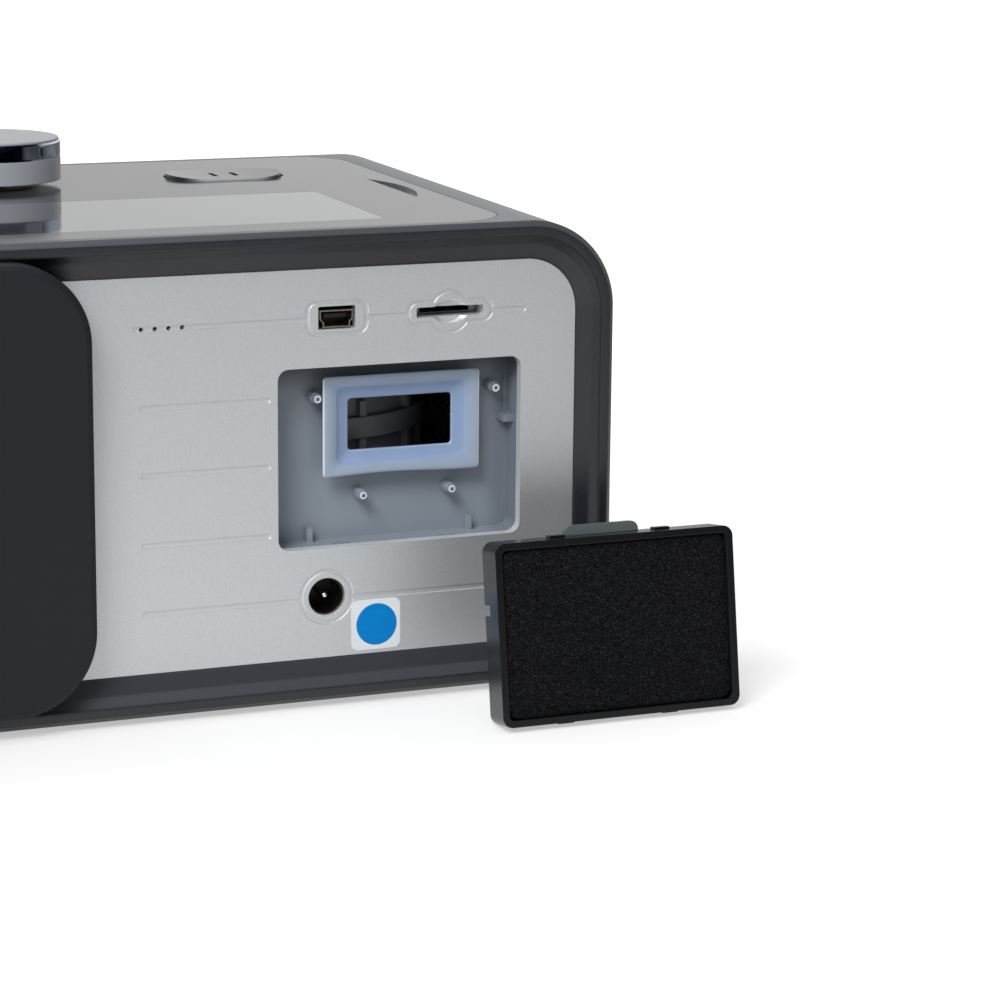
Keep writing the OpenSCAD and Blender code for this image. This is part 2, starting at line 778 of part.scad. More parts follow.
module blower_housing() {
    body_r = flange_r - 2;
    in_r = body_r - 2.5;
    z_a = blower_z - scroll_h;
    color([0.2, 0.21, 0.22]) machine() difference() {
        translate([blower_cx, blower_y, 0]) union() {
            translate([0, 0, z_a]) cylinder(r = body_r, h = 2 * scroll_h);
            translate([0, 0, blower_z + flange_dz]) cylinder(r = flange_r, h = flange_t);
            // Upright ribs around the scroll
            for (a = [15 : 30 : 345]) rotate([0, 0, a])
                box(body_r - 1, flange_r - 0.5, -0.9, 0.9, z_a + 2, blower_z + scroll_h - 2);
            blower_lugs() translate([0, 0, z_a]) cylinder(r = 5, h = 3);
            translate([0, 0, blower_z + scroll_h - e]) cylinder(r = 17, h = 2);
            rod_x(stub_r, stub_x - blower_cx, blower_cx - stub_x, pipe_y - blower_y, port_z);
        }
        translate([blower_cx, blower_y, z_a + 2]) cylinder(r = in_r, h = 2 * scroll_h - 4);
        translate([blower_cx, blower_y, blower_z]) cylinder(r = 14, h = scroll_h + 5);
        translate([blower_cx, blower_y, z_a - 1]) cylinder(r = 4, h = 5);
        rod_x(air_r, stub_x - 1, blower_cx - stub_x + 1, pipe_y, port_z);
    }
}

module blower_motor() {
    z_a = blower_z - scroll_h;
    color([0.6, 0.6, 0.62]) machine() translate([blower_cx, blower_y, 0]) difference() {
        union() {
            translate([0, 0, z_a - 20]) cylinder(r = 17, h = 20);
            translate([0, 0, z_a - 23]) cylinder(r = 6, h = 3);
            translate([0, 0, z_a]) cylinder(r = 3.9, h = 2.6);
        }
        translate([0, 0, z_a - 12]) cylinder(r = 1.5 + slip, h = 20);
    }
}

module blower_mounts() {
    z_a = box_floor_z + box_wall;
    color([0.1, 0.1, 0.1]) machine() translate([blower_cx, blower_y, 0]) blower_lugs() {
        translate([0, 0, z_a]) cylinder(r = 3.4, h = blower_z - scroll_h - z_a);
        for (i = [0 : 3]) translate([0, 0, z_a + 4 + i * 6]) cylinder(r = 4.4, h = 2.4);
    }
}

module impeller() {
    z_a = blower_z - scroll_h + 4.2;
    blade_h = 12;
    curl_r = impeller_r * 0.8;
    color([0.75, 0.76, 0.78]) machine() translate([blower_cx, blower_y, 0]) {
        translate([0, 0, z_a]) cylinder(r = impeller_r, h = 1.2);
        translate([0, 0, z_a]) cylinder(r = 4.5, h = blade_h - 3);
        // Backward-curved blades, each a stretch of a ring
        translate([0, 0, z_a + 1]) linear_extrude(blade_h - 1) intersection() {
            for (i = [0 : blade_n - 1]) rotate(i * 360 / blade_n)
                intersection() {
                    translate([0, curl_r]) difference() {
                        circle(curl_r);
                        circle(curl_r - 0.9);
                    }
                    translate([0, -e]) square([impeller_r, curl_r]);
                }
            difference() {
                circle(impeller_r - 0.3);
                circle(8);
            }
        }
        translate([0, 0, z_a + blade_h]) difference() {
            cylinder(r = impeller_r, h = 1);
            translate([0, 0, -1]) cylinder(r = 13, h = 3);
        }
        // Motor shaft, pressed into the hub
        translate([0, 0, blower_z - scroll_h - 11.8]) cylinder(r = 1.5, h = 22);
    }
}

module air_pipe() {
    // Silicone pipe from the blower's outlet to the dock, with one turn
    color([0.5, 0.6, 0.7]) machine() difference() {
        union() {
            rod_x(cuff_r, port_x, stub_x + cuff_l - port_x, pipe_y, port_z);
            translate([port_x, pipe_y, port_z]) sphere(r = cuff_r);
            rod_y(cuff_r, pipe_y, dock_y0 - pipe_y, port_x, port_z);
        }
        rod_x(air_r, port_x, stub_x + 1 - port_x, pipe_y, port_z);
        rod_x(stub_r + 0.05, stub_x, 7, pipe_y, port_z);
        translate([port_x, pipe_y, port_z]) sphere(r = air_r);
        rod_y(air_r, pipe_y, dock_y0 - pipe_y + 1, port_x, port_z);
    }
}

// --- humidifier ----------------------------------------------------------------------

// The tank's block drawn in by g, with rounded lengthwise edges of radius r
module tank_block(g, r, z_from, z_to) {
    d = tank_y1 - tank_y0 - 2 * g;
    intersection() {
        slab_z(tank_w - 2 * g, d, tank_r - g, z_from, z_to - z_from, tank_cx, heater_y);
        slab_y(tank_w - 2 * g, tank_top - tank_z0 - 2 * g, r, tank_y0, tank_y1 - tank_y0,
            tank_cx, (tank_top + tank_z0) / 2);
    }
}

module rear_cover() {
    cover_r = house_r - lip_w + 1;
    cover_t = 2.2;
    lift_y = y0 + step_d + 0.1;        // stands just over the step inside the lip
    cw = cover_w;
    ch = cover_z1 - cover_z0;
    edge = 1.4;
    cx = cover_cx;
    color([0.19, 0.2, 0.21]) machine() difference() {
        union() {
            hull() {
                slab_y(cw - 2 * edge, ch - 2 * edge, cover_r - edge, cover_y0, e, cx, zc);
                slab_y(cw - 0.6, ch - 0.6, cover_r - 0.3, cover_y0 + 0.6, e, cx, zc);
                slab_y(cw, ch, cover_r, cover_y0 + edge, e, cx, zc);
            }
            slab_y(cw, ch, cover_r, cover_y0 + edge, lift_y - cover_y0 - edge, cx, zc);
            // Inner part that reaches the panels, inside the rim's slope
            intersection() {
                slab_y(cw, ch, cover_r, lift_y, -lift_y, cx, zc);
                along_y(lift_y, -lift_y) house_outline(rim_x + 1, rim_z + 1);
            }
        }
        difference() {
            slab_y(cw - 2 * cover_t, ch - 2 * cover_t, cover_r - cover_t,
                cover_y0 + cover_t, 10, cx, zc);
            // Screw posts down to the dock plate
            for (sx = [-1, 1], sz = [-1, 1])
                rod_y(4, cover_y0, 10, tank_x + sx * 40, zc + sz * 34);
        }
        rod_y(shoulder_r + 0.3, cover_y0 - 1, 12, tank_x, port_z);
    }
}

module dock_plate() {
    color([0.25, 0.26, 0.27]) machine() difference() {
        intersection() {
            along_y(0, panel_t) house_outline(rim_x + fit, rim_z + fit);
            box(-house_w, split_x, -1, panel_t + 1, 0, z1);
        }
        rod_y(outlet_r + 0.1, -1, panel_t + 2, tank_x, port_z);
    }
}

module hose_outlet() {
    y_a = cover_y0 - outlet_l;
    color([0.2, 0.21, 0.22]) machine() difference() {
        union() {
            rod_y(outlet_r, y_a + 0.5, dock_y0 - y_a - 0.5, tank_x, port_z);
            rod_y(outlet_r - 0.5, y_a, 1, tank_x, port_z);
            rod_y(shoulder_r, cover_y0 - 0.8, -cover_y0 - 1.7, tank_x, port_z);
            rod_y(shoulder_r + 3, -2.5, 2.5, tank_x, port_z);
        }
        rod_y(air_r, y_a - 1, dock_y0 - y_a + 2, tank_x, port_z);
    }
}

module dock_wall() {
    // Rear wall of the dock, with the ports that the outlet and the pipe end at
    color([0.25, 0.26, 0.27]) machine() difference() {
        slab_y(dock_w + 2 * dock_t, dock_h + 2 * dock_t, dock_r, dock_y0, dock_t, tank_cx,
            dock_cz);
        for (x = [tank_x, port_x]) rod_y(air_r, dock_y0 - 1, dock_t + 2, x, port_z);
    }
}

module tank_dock() {
    // Open bay that the tank slides into, on legs over the housing's floor
    color([0.25, 0.26, 0.27]) machine() difference() {
        union() {
            slab_y(dock_w + 2 * dock_t, dock_h + 2 * dock_t, dock_r, dock_y,
                dock_end - dock_y, tank_cx, dock_cz);
            for (x = [dock_x0 + leg_x, dock_x1 - leg_x], y = [dock_y + 6, dock_end - leg_y])
                box(x - 4, x + 4, y - 6, y + 6, floor_z, dock_z0 - dock_t + 2);
            // Boards stand on four bosses
            board_places() translate([0, 0, dock_z1 + 1])
                cylinder(r = 2.6, h = main_z - dock_z1 - 1);
            board_places() translate([0, 0, dock_z1 + 1])
                cylinder(r = 1.2, h = main_z - dock_z1 + 1);
        }
        slab_y(dock_w, dock_h, dock_in_r, dock_y - 1, dock_end, tank_cx, dock_cz);
        translate([tank_cx, heater_y, dock_z0 - dock_t - 1]) cylinder(r = heater_r + 0.2,
            h = dock_t + 3);
        screws_at(dock_screws) translate([0, 0, z0]) cylinder(r = screw_r + slip,
            h = screw_sink + screw_l + 0.5);
    }
}

module board_places() {
    for (x = [tank_x0 + 8, tank_x1 - 8], y = [dock_y0 + 8, dock_end - 10])
        translate([x, y, 0]) children();
}

module main_board() {
    chip = 18;                     // processor, square
    relay_w = 16;
    relay_h = 6;
    can_r = 4;                     // capacitors in a row
    can_h = 8.4;
    can_pitch = 12;
    z_t = main_z + board_t;
    color([0.1, 0.35, 0.2]) machine() difference() {
        union() {
            box(tank_x0 + 2, tank_x1 - 2, dock_y0 + 2, dock_end - 4, main_z, z_t);
            box(tank_cx - chip / 2, tank_cx + chip / 2, heater_y - chip - 2, heater_y - 2,
                z_t - e, z_t + 1.4);
            box(tank_x0 + 14, tank_x0 + 14 + relay_w, heater_y + 6, heater_y + 24, z_t - e,
                z_t + relay_h);
            for (i = [0 : 2]) translate([tank_x1 - 5 * can_r, dock_y0 + 16 + i * can_pitch,
                z_t - e]) cylinder(r = can_r, h = can_h);
        }
        board_places() cylinder(r = 1.3, h = z1);
    }
}

module port_seals() {
    // Soft rings on the dock wall that the tank's ports press on
    color([0.5, 0.6, 0.72]) machine() for (x = [tank_x, port_x]) difference() {
        union() {
            rod_y(12.6, dock_y, 2, x, port_z);
            rod_y(11, dock_y, tank_y0 - dock_y - seat, x, port_z);
            rod_y(12, tank_y0 - seat - 1.2, 1.2, x, port_z);
        }
        rod_y(air_r, dock_y - 1, 12, x, port_z);
    }
}

module heater_plate() {
    color([0.7, 0.7, 0.7]) machine() translate([tank_cx, heater_y, 0]) {
        translate([0, 0, dock_z0 - dock_t - 2]) cylinder(r = heater_r + 2.4, h = 2);
        translate([0, 0, dock_z0 - dock_t - 1]) cylinder(r = heater_r,
            h = tank_z0 - seat - dock_z0 + dock_t + 1);
    }
}

module tank_shell() {
    tube_l = 15;
    color([0.75, 0.82, 0.88, 0.45]) machine() difference() {
        tank_block(0, tank_r, tank_z0, shell_top);
        difference() {
            union() {
                tank_block(tank_wall, tank_r - tank_wall - 1, tank_z0 + tank_wall, shell_top - e);
                slab_z(tank_w - 2 * tank_wall, tank_y1 - tank_y0 - 2 * tank_wall,
                    tank_r - tank_wall, shell_top - tank_r, 2 * tank_r, tank_cx, heater_y);
            }
            for (x = [tank_x, port_x]) rod_y(air_r + 1.4, tank_y0, tube_l, x, port_z);
        }
        for (x = [tank_x, port_x]) rod_y(air_r, tank_y0 - 1, tube_l + 2, x, port_z);
        translate([tank_cx, heater_y, tank_z0 - 1]) cylinder(r = base_r - 2,
            h = tank_wall + 2);
    }
}

module tank_base() {
    color([0.72, 0.72, 0.74]) machine() translate([tank_cx, heater_y, 0]) {
        translate([0, 0, tank_z0 + tank_wall]) cylinder(r = base_r, h = 0.8);
        translate([0, 0, tank_z0]) cylinder(r = base_r - 2.1, h = tank_wall + 0.1);
    }
}

module tank_gasket() {
    d = tank_y1 - tank_y0;
    color([0.5, 0.6, 0.72]) machine() difference() {
        slab_z(tank_w - 2, d - 2, tank_r - 1, shell_top, gasket_t, tank_cx, heater_y);
        slab_z(tank_w - 2 * tank_wall, d - 2 * tank_wall, tank_r - tank_wall, shell_top - 1,
            3, tank_cx, heater_y);
    }
}

module tank_lid() {
    skirt = 6;
    d = tank_y1 - tank_y0 - 2 * skirt;
    color([0.3, 0.31, 0.33]) machine() difference() {
        tank_block(0, tank_r, shell_top + gasket_t, tank_top);
        slab_z(tank_w - 2 * skirt, d, tank_r, shell_top, gasket_t + lid_t / 2, tank_cx,
            heater_y);
    }
}

module tank_front() {
    z = (drawer_z0 + drawer_z1) / 2;
    h = drawer_z1 - drawer_z0;
    color([0.19, 0.2, 0.21]) machine() difference() {
        union() {
            slab_y(tank_w, tank_top - tank_z0, tank_r, tank_y1, front_y - panel_t - tank_y1
                + 0.5, tank_cx, (tank_top + tank_z0) / 2);
            slab_y(drawer_w, h, drawer_r, front_y - panel_t + 0.3, panel_t - 0.3, tank_cx, z);
        }
        // Hand grip and the pocket of the latch button
        slab_y(grip_w, grip_h, 6, front_y - grip_d, 10, tank_cx, z - grip_dz);
        slab_y(latch_w + 2 * seat, latch_h + 2 * seat, 3.1 + seat, pocket_y, 10, tank_cx,
            latch_z);
        // Level window, open into the tank
        slab_y(level_w, level_h, 3, tank_y1 - 1, 20, level_x, z - grip_dz);
    }
}

module tank_latch() {
    y_a = pocket_y + latch_travel + seat;
    color([0.55, 0.57, 0.6]) machine()
        slab_y(latch_w, latch_h, 3.1, y_a, front_y + 0.5 - y_a, tank_cx, latch_z);
}

module front_panel() {
    z = (drawer_z0 + drawer_z1) / 2;
    color([0.74, 0.75, 0.76]) machine() difference() {
        along_y(front_y - panel_t, panel_t) house_outline(rim_x + fit, rim_z + fit);
        slab_y(drawer_w + 2 * drawer_gap, drawer_z1 - drawer_z0 + 2 * drawer_gap,
            drawer_r + drawer_gap, front_y - panel_t - 1, panel_t + 2, tank_cx, z);
    }
}

// --- top, display and controls -------------------------------------------------------

module button_outline(grow) {
    rrect(button_w + 2 * grow, button_d + 2 * grow, button_r + grow);
}

// Shallow thumb recess: a leaning disc that dips under the surface at its outer edge
module thumb_recess() {
    recess_r = 40;
    dip = 0.9;
    reach = 12;
    x_edge = top_w / 2 - 3.5;
    y_mid = (top_y0 + top_y1) / 2 - 2.9;
    translate([x_edge, y_mid, z1 - dip]) rotate([0, atan(dip / 3.8), 0])
        translate([-recess_r, 0, 0]) intersection() {
            cylinder(r = recess_r, h = 6);
            translate([recess_r - reach, -recess_r, -1]) cube([reach + 1, 2 * recess_r, 8]);
        }
}

module top_panel() {
    cy = (top_y0 + top_y1) / 2;
    dy = display_y + display_d / 2;
    color([0.64, 0.65, 0.65]) machine() difference() {
        union() {
            slab_z(top_w - 2 * top_gap, top_y1 - top_y0 - 2 * top_gap, top_r - top_gap, top_z,
                top_t, 0, cy);
            // Bosses that the control board hangs from
            control_places() translate([0, 0, board_z]) cylinder(r = boss_r,
                h = top_z - board_z + e);
        }
        slab_z(display_w, display_d, 1.5, z1 - 1, 2, 0, dy);
        slab_z(display_w - 4, display_d - 4, 1, top_z - 1, 3, 0, dy);
        translate([0, control_cy, top_z - 1]) cylinder(r = bush_r + 0.1, h = 4);
        for (sx = [-1, 1]) translate([sx * button_x, control_cy, top_z - 1])
            linear_extrude(4) button_outline(button_gap);
        thumb_recess();
    }
}

module control_places() {
    for (x = [-boss_x, -boss_in_x, boss_in_x, boss_x])
        translate([x, control_cy + control_back, 0]) children();
}

module display_window() {
    color([0.74, 0.75, 0.76]) machine()
        slab_z(display_w - 0.1, display_d - 0.1, 1.45, z1 - 1, 1, 0, display_y + display_d / 2);
}

module lcd_module() {
    y_mid = display_y + display_d / 2;
    color([0.3, 0.32, 0.34]) machine() {
        slab_z(display_w - 1, display_d - 1, 1, top_z - 3.4, 3.4, 0, y_mid);
        slab_z(display_w - 30, display_d - 14, 1, top_z - 4.6, 1.3, 0, y_mid);
    }
}

module control_board() {
    color([0.1, 0.35, 0.2]) machine() difference() {
        box(-control_half, control_half, control_cy - control_back,
            control_cy + control_front, board_z - board_t, board_z);
        control_places() cylinder(r = 1.2, h = z1);
    }
}

module encoder_body() {
    color([0.5, 0.5, 0.52]) machine() translate([0, control_cy, 0]) difference() {
        union() {
            box(-7, 7, -7, 7, board_z, top_z - 3);
            translate([0, 0, top_z - 3]) cylinder(r = bush_r, h = top_t + 3.4);
            translate([0, 0, z1]) cylinder(r = hub_r, h = collar_h);
        }
        translate([0, 0, board_z + 3]) cylinder(r = shaft_r + slip, h = 30);
    }
}

module encoder_plunger() {
    // Short push rod under the shaft, over the press switch
    color([0.7, 0.7, 0.7]) machine() translate([0, control_cy, board_z + 3 + press_travel
        + 0.2]) cylinder(r = shaft_r - 0.2, h = 2);
}

module knob_shaft() {
    z_a = board_z + 5 + press_travel + 0.2;
    color([0.7, 0.7, 0.72]) machine() translate([0, control_cy, z_a])
        cylinder(r = shaft_r, h = knob_z + knob_body_h + band_h - 1 - z_a);
}

module knob_body() {
    color([0.72, 0.73, 0.74]) machine() translate([0, control_cy, knob_z]) difference() {
        union() {
            cylinder(r = knob_r, h = knob_body_h);
            translate([0, 0, -hub_drop]) cylinder(r = hub_r - 0.4, h = 1);
            cylinder(r = band_in - 0.05, h = knob_body_h + band_h);
        }
        translate([0, 0, -1]) cylinder(r = shaft_r + 0.01, h = knob_body_h + band_h);
    }
}

module knob_band() {
    color([0.85, 0.85, 0.87]) machine() translate([0, control_cy, knob_z + knob_body_h])
        difference() {
            union() {
                cylinder(r1 = knob_r - 0.25, r2 = knob_r, h = 0.4);
                translate([0, 0, 0.4]) cylinder(r = knob_r, h = band_h - 0.8);
                translate([0, 0, band_h - 0.4]) cylinder(r1 = knob_r, r2 = knob_r - 0.35,
                    h = 0.4);
            }
            translate([0, 0, -1]) cylinder(r = band_in, h = band_h + 2);
            // Index mark
            rotate([0, 0, -57]) box(knob_r - 0.3, knob_r + 1, -0.5, 0.5, 0.8, band_h - 0.8);
        }
}

module knob_cap() {
    z_a = knob_z + knob_body_h + band_h;
    cap_r = knob_r - 0.35;
    edge = 0.35;                       // eased shoulder
    crown = 0.4;                       // rise from the shoulder to the flat middle
    shoulder_z = cap_h - crown;
    color([0.76, 0.77, 0.78]) machine() translate([0, control_cy, z_a]) rotate_extrude()
        polygon([[0, 0], [cap_r, 0], [cap_r, shoulder_z - edge],
            [cap_r - 0.3 * edge, shoulder_z - 0.3 * edge], [cap_r - edge, shoulder_z],
            [0.6 * cap_r, cap_h - 0.3 * crown], [0.3 * cap_r, cap_h], [0, cap_h]]);
}

module push_button(x) {
    saddle_r = (pow(button_w / 2, 2) + pow(button_dip, 2)) / (2 * button_dip);
    machine() translate([x, control_cy, 0]) {
        difference() {
            translate([0, 0, top_z - 0.3]) linear_extrude(top_t + 0.3 + button_stand)
                button_outline(0);
            translate([0, button_d, z1 + button_stand - button_dip + saddle_r])
                rotate([90, 0, 0]) cylinder(r = saddle_r, h = 2 * button_d, $fn = 720);
        }
        translate([0, 0, top_z - 1.7]) linear_extrude(1.4) button_outline(1.2);
        translate([0, 0, board_z + switch_h + press_travel + 0.2]) cylinder(r = 2,
            h = top_z - 1.6 - board_z - switch_h - press_travel - 0.2);
    }
}

module start_button() {
    color([0.66, 0.67, 0.67]) push_button(button_x);
}

module back_button() {
    color([0.66, 0.67, 0.67]) push_button(-button_x);
}

module button_switches() {
    color([0.15, 0.15, 0.15]) machine() for (sx = [-1, 1])
        translate([sx * button_x, control_cy, board_z]) {
            translate([-3.1, -3.1, 0]) cube([6.2, 6.2, switch_h - 1.5]);
            cylinder(r = 1.7, h = switch_h);
        }
}

// --- output --------------------------------------------------------------------------

sleeve();
rear_panel();
front_panel();
top_panel();
display_window();
lcd_module();
control_board();
encoder_body();
encoder_plunger();
knob_shaft();
knob_body();
knob_band();
knob_cap();
start_button();
back_button();
button_switches();
filter_bay();
inlet_seal();
sound_box();
sound_box_lid();
chamber_foam();
blower_housing();
blower_motor();
blower_mounts();
impeller();
air_pipe();
filter_frame();
filter_foam();
filter_tab();
port_board();
usb_shell();
usb_tongue();
card_reader();
power_jack();
power_pin();
panel_label();
rear_cover();
dock_plate();
hose_outlet();
dock_wall();
tank_dock();
port_seals();
heater_plate();
main_board();
tank_shell();
tank_base();
tank_gasket();
tank_lid();
tank_front();
tank_latch();
feet();
case_screws();
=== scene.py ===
import bpy
import math
from mathutils import Matrix, Vector, noise


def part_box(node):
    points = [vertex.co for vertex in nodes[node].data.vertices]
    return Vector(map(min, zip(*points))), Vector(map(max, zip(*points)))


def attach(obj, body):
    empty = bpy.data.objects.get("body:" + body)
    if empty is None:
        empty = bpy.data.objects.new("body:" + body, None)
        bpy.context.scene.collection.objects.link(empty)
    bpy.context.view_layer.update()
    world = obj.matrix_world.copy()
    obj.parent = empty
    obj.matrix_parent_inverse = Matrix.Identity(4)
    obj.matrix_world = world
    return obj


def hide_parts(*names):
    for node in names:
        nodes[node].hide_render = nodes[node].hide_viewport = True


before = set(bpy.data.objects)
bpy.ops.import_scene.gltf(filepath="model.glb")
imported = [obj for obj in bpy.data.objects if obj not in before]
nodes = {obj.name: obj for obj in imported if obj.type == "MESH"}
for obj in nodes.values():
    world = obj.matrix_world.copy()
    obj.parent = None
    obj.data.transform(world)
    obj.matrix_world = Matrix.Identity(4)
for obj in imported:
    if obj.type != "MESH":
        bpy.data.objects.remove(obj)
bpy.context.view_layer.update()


# --- studio --------------------------------------------------------------------------
# A sheet of white paper lies under the machine. Daylight comes from all round, dimmer from
# the photographer's side, with a soft lamp at the upper left and a weak one overhead.

mm = 0.001
knob_low, knob_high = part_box("knob_body")
middle_x = (knob_low.x + knob_high.x) / 2
face_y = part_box("rear_panel")[0].y


def at(x, y, z):
    """A point in mm from the knob's axis, the silver panel's face and the table."""
    return Vector((middle_x + x * mm, face_y + y * mm, z * mm))


class Wire:
    """An output socket. Arithmetic on it adds Math nodes to its tree."""

    def __init__(self, finish, socket):
        self.finish, self.socket = finish, socket

    def math(self, operation, *others, swap=False):
        values = [*others, self] if swap else [self, *others]
        return self.finish.add("ShaderNodeMath", {"operation": operation}, dict(enumerate(values)))

    def __add__(self, other):
        return self.math("ADD", other)

    def __sub__(self, other):
        return self.math("SUBTRACT", other)

    def __rsub__(self, other):
        return self.math("SUBTRACT", other, swap=True)

    def __mul__(self, other):
        return self.math("MULTIPLY", other)

    def __truediv__(self, other):
        return self.math("DIVIDE", other)

    def __pow__(self, other):
        return self.math("POWER", other)

    __radd__, __rmul__ = __add__, __mul__

    def between(self, low, high):
        """The value, held between two limits."""
        return self.math("MAXIMUM", low).math("MINIMUM", high)

    def inside(self, edge, soft):
        """1 where the value is below edge, 0 above it, with a soft step between."""
        return self.finish.add("ShaderNodeMapRange", {"interpolation_type": "SMOOTHSTEP"},
                               {0: self, 1: edge - soft, 2: edge + soft, 3: 1.0, 4: 0.0})


class Finish:
    """A material or the world, put together node by node."""

    def __init__(self, owner):
        owner.use_nodes = True
        self.owner, self.tree = owner, owner.node_tree
        self.tree.nodes.clear()

    def add(self, kind, settings=None, sockets=None, out=0):
        node = self.tree.nodes.new(kind)
        for name, value in (settings or {}).items():
            if name == "stops":
                while len(node.color_ramp.elements) < len(value):
                    node.color_ramp.elements.new(0.5)
                for element, (place, colour) in zip(node.color_ramp.elements, value):
                    element.position, element.color = place, colour
            else:
                setattr(node, name, value)
        for name, value in (sockets or {}).items():
            if isinstance(value, Wire):
                self.tree.links.new(value.socket, node.inputs[name])
            else:
                node.inputs[name].default_value = value
        return Wire(self, node.outputs[out]) if len(node.outputs) else node

    def mix(self, factor, first, second):
        """A colour between two others."""
        return self.add("ShaderNodeMix", {"data_type": "RGBA"}, {0: factor, 6: first, 7: second}, 2)

    def part(self, vector, which):
        """One coordinate of a vector, 0 to 2."""
        return self.add("ShaderNodeSeparateXYZ", {}, {0: vector}, which)

    def normal_part(self, which):
        """One coordinate of the direction that the surface faces."""
        return self.part(self.add("ShaderNodeNewGeometry", out="Normal"), which)

    def recolour(self, colour):
        """Gives the shader another colour than its plain one."""
        self.tree.links.new(colour.socket, self.shader.socket.node.inputs["Base Color"])


def ink(red, green, blue):
    """A colour as it is seen on a screen, 0 to 255, as the renderer's own values."""
    seen = [c / 255 for c in (red, green, blue)]
    return (*[c / 12.92 if c <= 0.04045 else ((c + 0.055) / 1.055) ** 2.4 for c in seen], 1.0)


lens_mm, sensor_mm = 116.8, 36.0
camera_place = at(-171.28, -654.5, 203.14)
yaw, pitch, roll = (math.radians(a) for a in (-21.94, 12.8, 0.60))
back = Vector((math.sin(yaw) * math.cos(pitch), -math.cos(yaw) * math.cos(pitch), math.sin(pitch)))
across = Vector((math.cos(yaw), math.sin(yaw), 0))
upward = back.cross(across)
camera = bpy.data.objects.new("camera", bpy.data.cameras.new("camera"))
camera.data.lens, camera.data.sensor_width = lens_mm, sensor_mm
camera.data.clip_start = 0.01
turned = Matrix((math.cos(roll) * across + math.sin(roll) * upward,
                 math.cos(roll) * upward - math.sin(roll) * across, back)).transposed()
camera.matrix_world = Matrix.Translation(camera_place) @ turned.to_4x4()
bpy.context.scene.collection.objects.link(camera)
bpy.context.scene.camera = camera
bpy.context.scene.view_settings.view_transform = "Standard"

sky = Finish(bpy.data.worlds.new("daylight"))
bpy.context.scene.world = sky.owner
sky_where = sky.add("ShaderNodeTexCoord", out="Generated")
look_x, look_y = (sky.part(sky_where, i) for i in (0, 1))

# Daylight by direction: a little dimmer from the photographer's side and from the right.
room_level, room_slope = 0.58, 0.2
room = (look_y * room_slope - look_x * room_slope + room_level).between(0.2, 0.9)

# What gloss mirrors: a dark room behind the photographer, a pale wall behind the machine.
wall_level, wall_slope, wall_fade, wall_pale, room_dark = 0.6, 0.7, 0.4, 0.72, 0.1
glare_from, glare_slope = 0.22, 0.8
wall = look_y * wall_slope + wall_level - look_x.math("MAXIMUM", 0.0) * wall_fade
glare = ((look_x - glare_from) * look_y).math("MAXIMUM", 0.0) * glare_slope
mirrored = (wall.math("MINIMUM", wall_pale) + glare).math("MAXIMUM", room_dark)

camera_ray = sky.add("ShaderNodeLightPath", out="Is Camera Ray")
mirror_ray = sky.add("ShaderNodeLightPath", out="Is Glossy Ray")
clear_ray = sky.add("ShaderNodeLightPath", out="Is Transmission Ray")
plain = camera_ray.math("MAXIMUM", clear_ray)
lit = room * (1 - mirror_ray) + mirrored * mirror_ray
sky_shader = sky.add("ShaderNodeBackground", {}, {0: (1, 1, 1, 1), 1: plain + (1 - plain) * lit})
sky.add("ShaderNodeOutputWorld", {}, {0: sky_shader})
lamp_aim = at(20, 20, 50)


def lamp(name, size, watts, place):
    """A square soft lamp that faces the machine."""
    one = bpy.data.objects.new(name, bpy.data.lights.new(name, "AREA"))
    one.data.size, one.data.energy = size, watts
    one.location = place
    one.rotation_euler = (lamp_aim - place).to_track_quat("-Z", "Y").to_euler()
    bpy.context.scene.collection.objects.link(one)


lamp("soft_box", 0.5, 11.5, at(-560, -680, 900))
lamp("overhead", 0.8, 3.0, at(-120, 60, 1050))

paper_mesh = bpy.data.meshes.new("paper")
paper_reach = 6.0
paper_mesh.from_pydata([(x * paper_reach, y * paper_reach, 0)
                        for x, y in ((-1, -1), (1, -1), (1, 1), (-1, 1))], [], [(0, 1, 2, 3)])
paper = bpy.data.objects.new("paper", paper_mesh)
bpy.context.scene.collection.objects.link(paper)
sheet = Finish(bpy.data.materials.new("white_paper"))
flat = sheet.add("ShaderNodeBsdfDiffuse", {}, {"Color": (0.5, 0.5, 0.5, 1)})
viewed = sheet.add("ShaderNodeLightPath", out="Is Camera Ray")
glossed = sheet.add("ShaderNodeLightPath", out="Is Glossy Ray")
away = sheet.add("ShaderNodeVectorMath", {"operation": "DISTANCE"}, {
    0: sheet.add("ShaderNodeNewGeometry", out="Position"), 1: tuple(at(40, -80, 0))}, "Value")

# The camera sees plain white paper with the machine's shadow on it, its glow weaker near
# the machine so that the shadow shows. Gloss mirrors a painted glow, a pool of light
# painted on the paper near the machine. Neither adds light to anything else. Sizes in metres.
painted_pool_reach, painted_pool_level = 0.45, 0.55
shadow_reach, shadow_level, paper_rise = 0.6, 0.4, 0.45
painted_pool = (1 - away / painted_pool_reach).math("MAXIMUM", 0.0) * painted_pool_level
white = (away / shadow_reach).math("MINIMUM", 1.0) * paper_rise + shadow_level
glow = sheet.add("ShaderNodeEmission", {}, {
    "Color": (1, 1, 1, 1), "Strength": viewed * white + glossed * painted_pool})
both = sheet.add("ShaderNodeAddShader", {}, {0: flat, 1: glow})
sheet.add("ShaderNodeOutputMaterial", {}, {0: both})
paper_mesh.materials.append(sheet.owner)


# --- housing -------------------------------------------------------------------------
# One wraparound moulding of slate grey ABS, with a fine spark texture from the tool, and
# rims that stand past the end panels. Four cross-head screws close it from below.


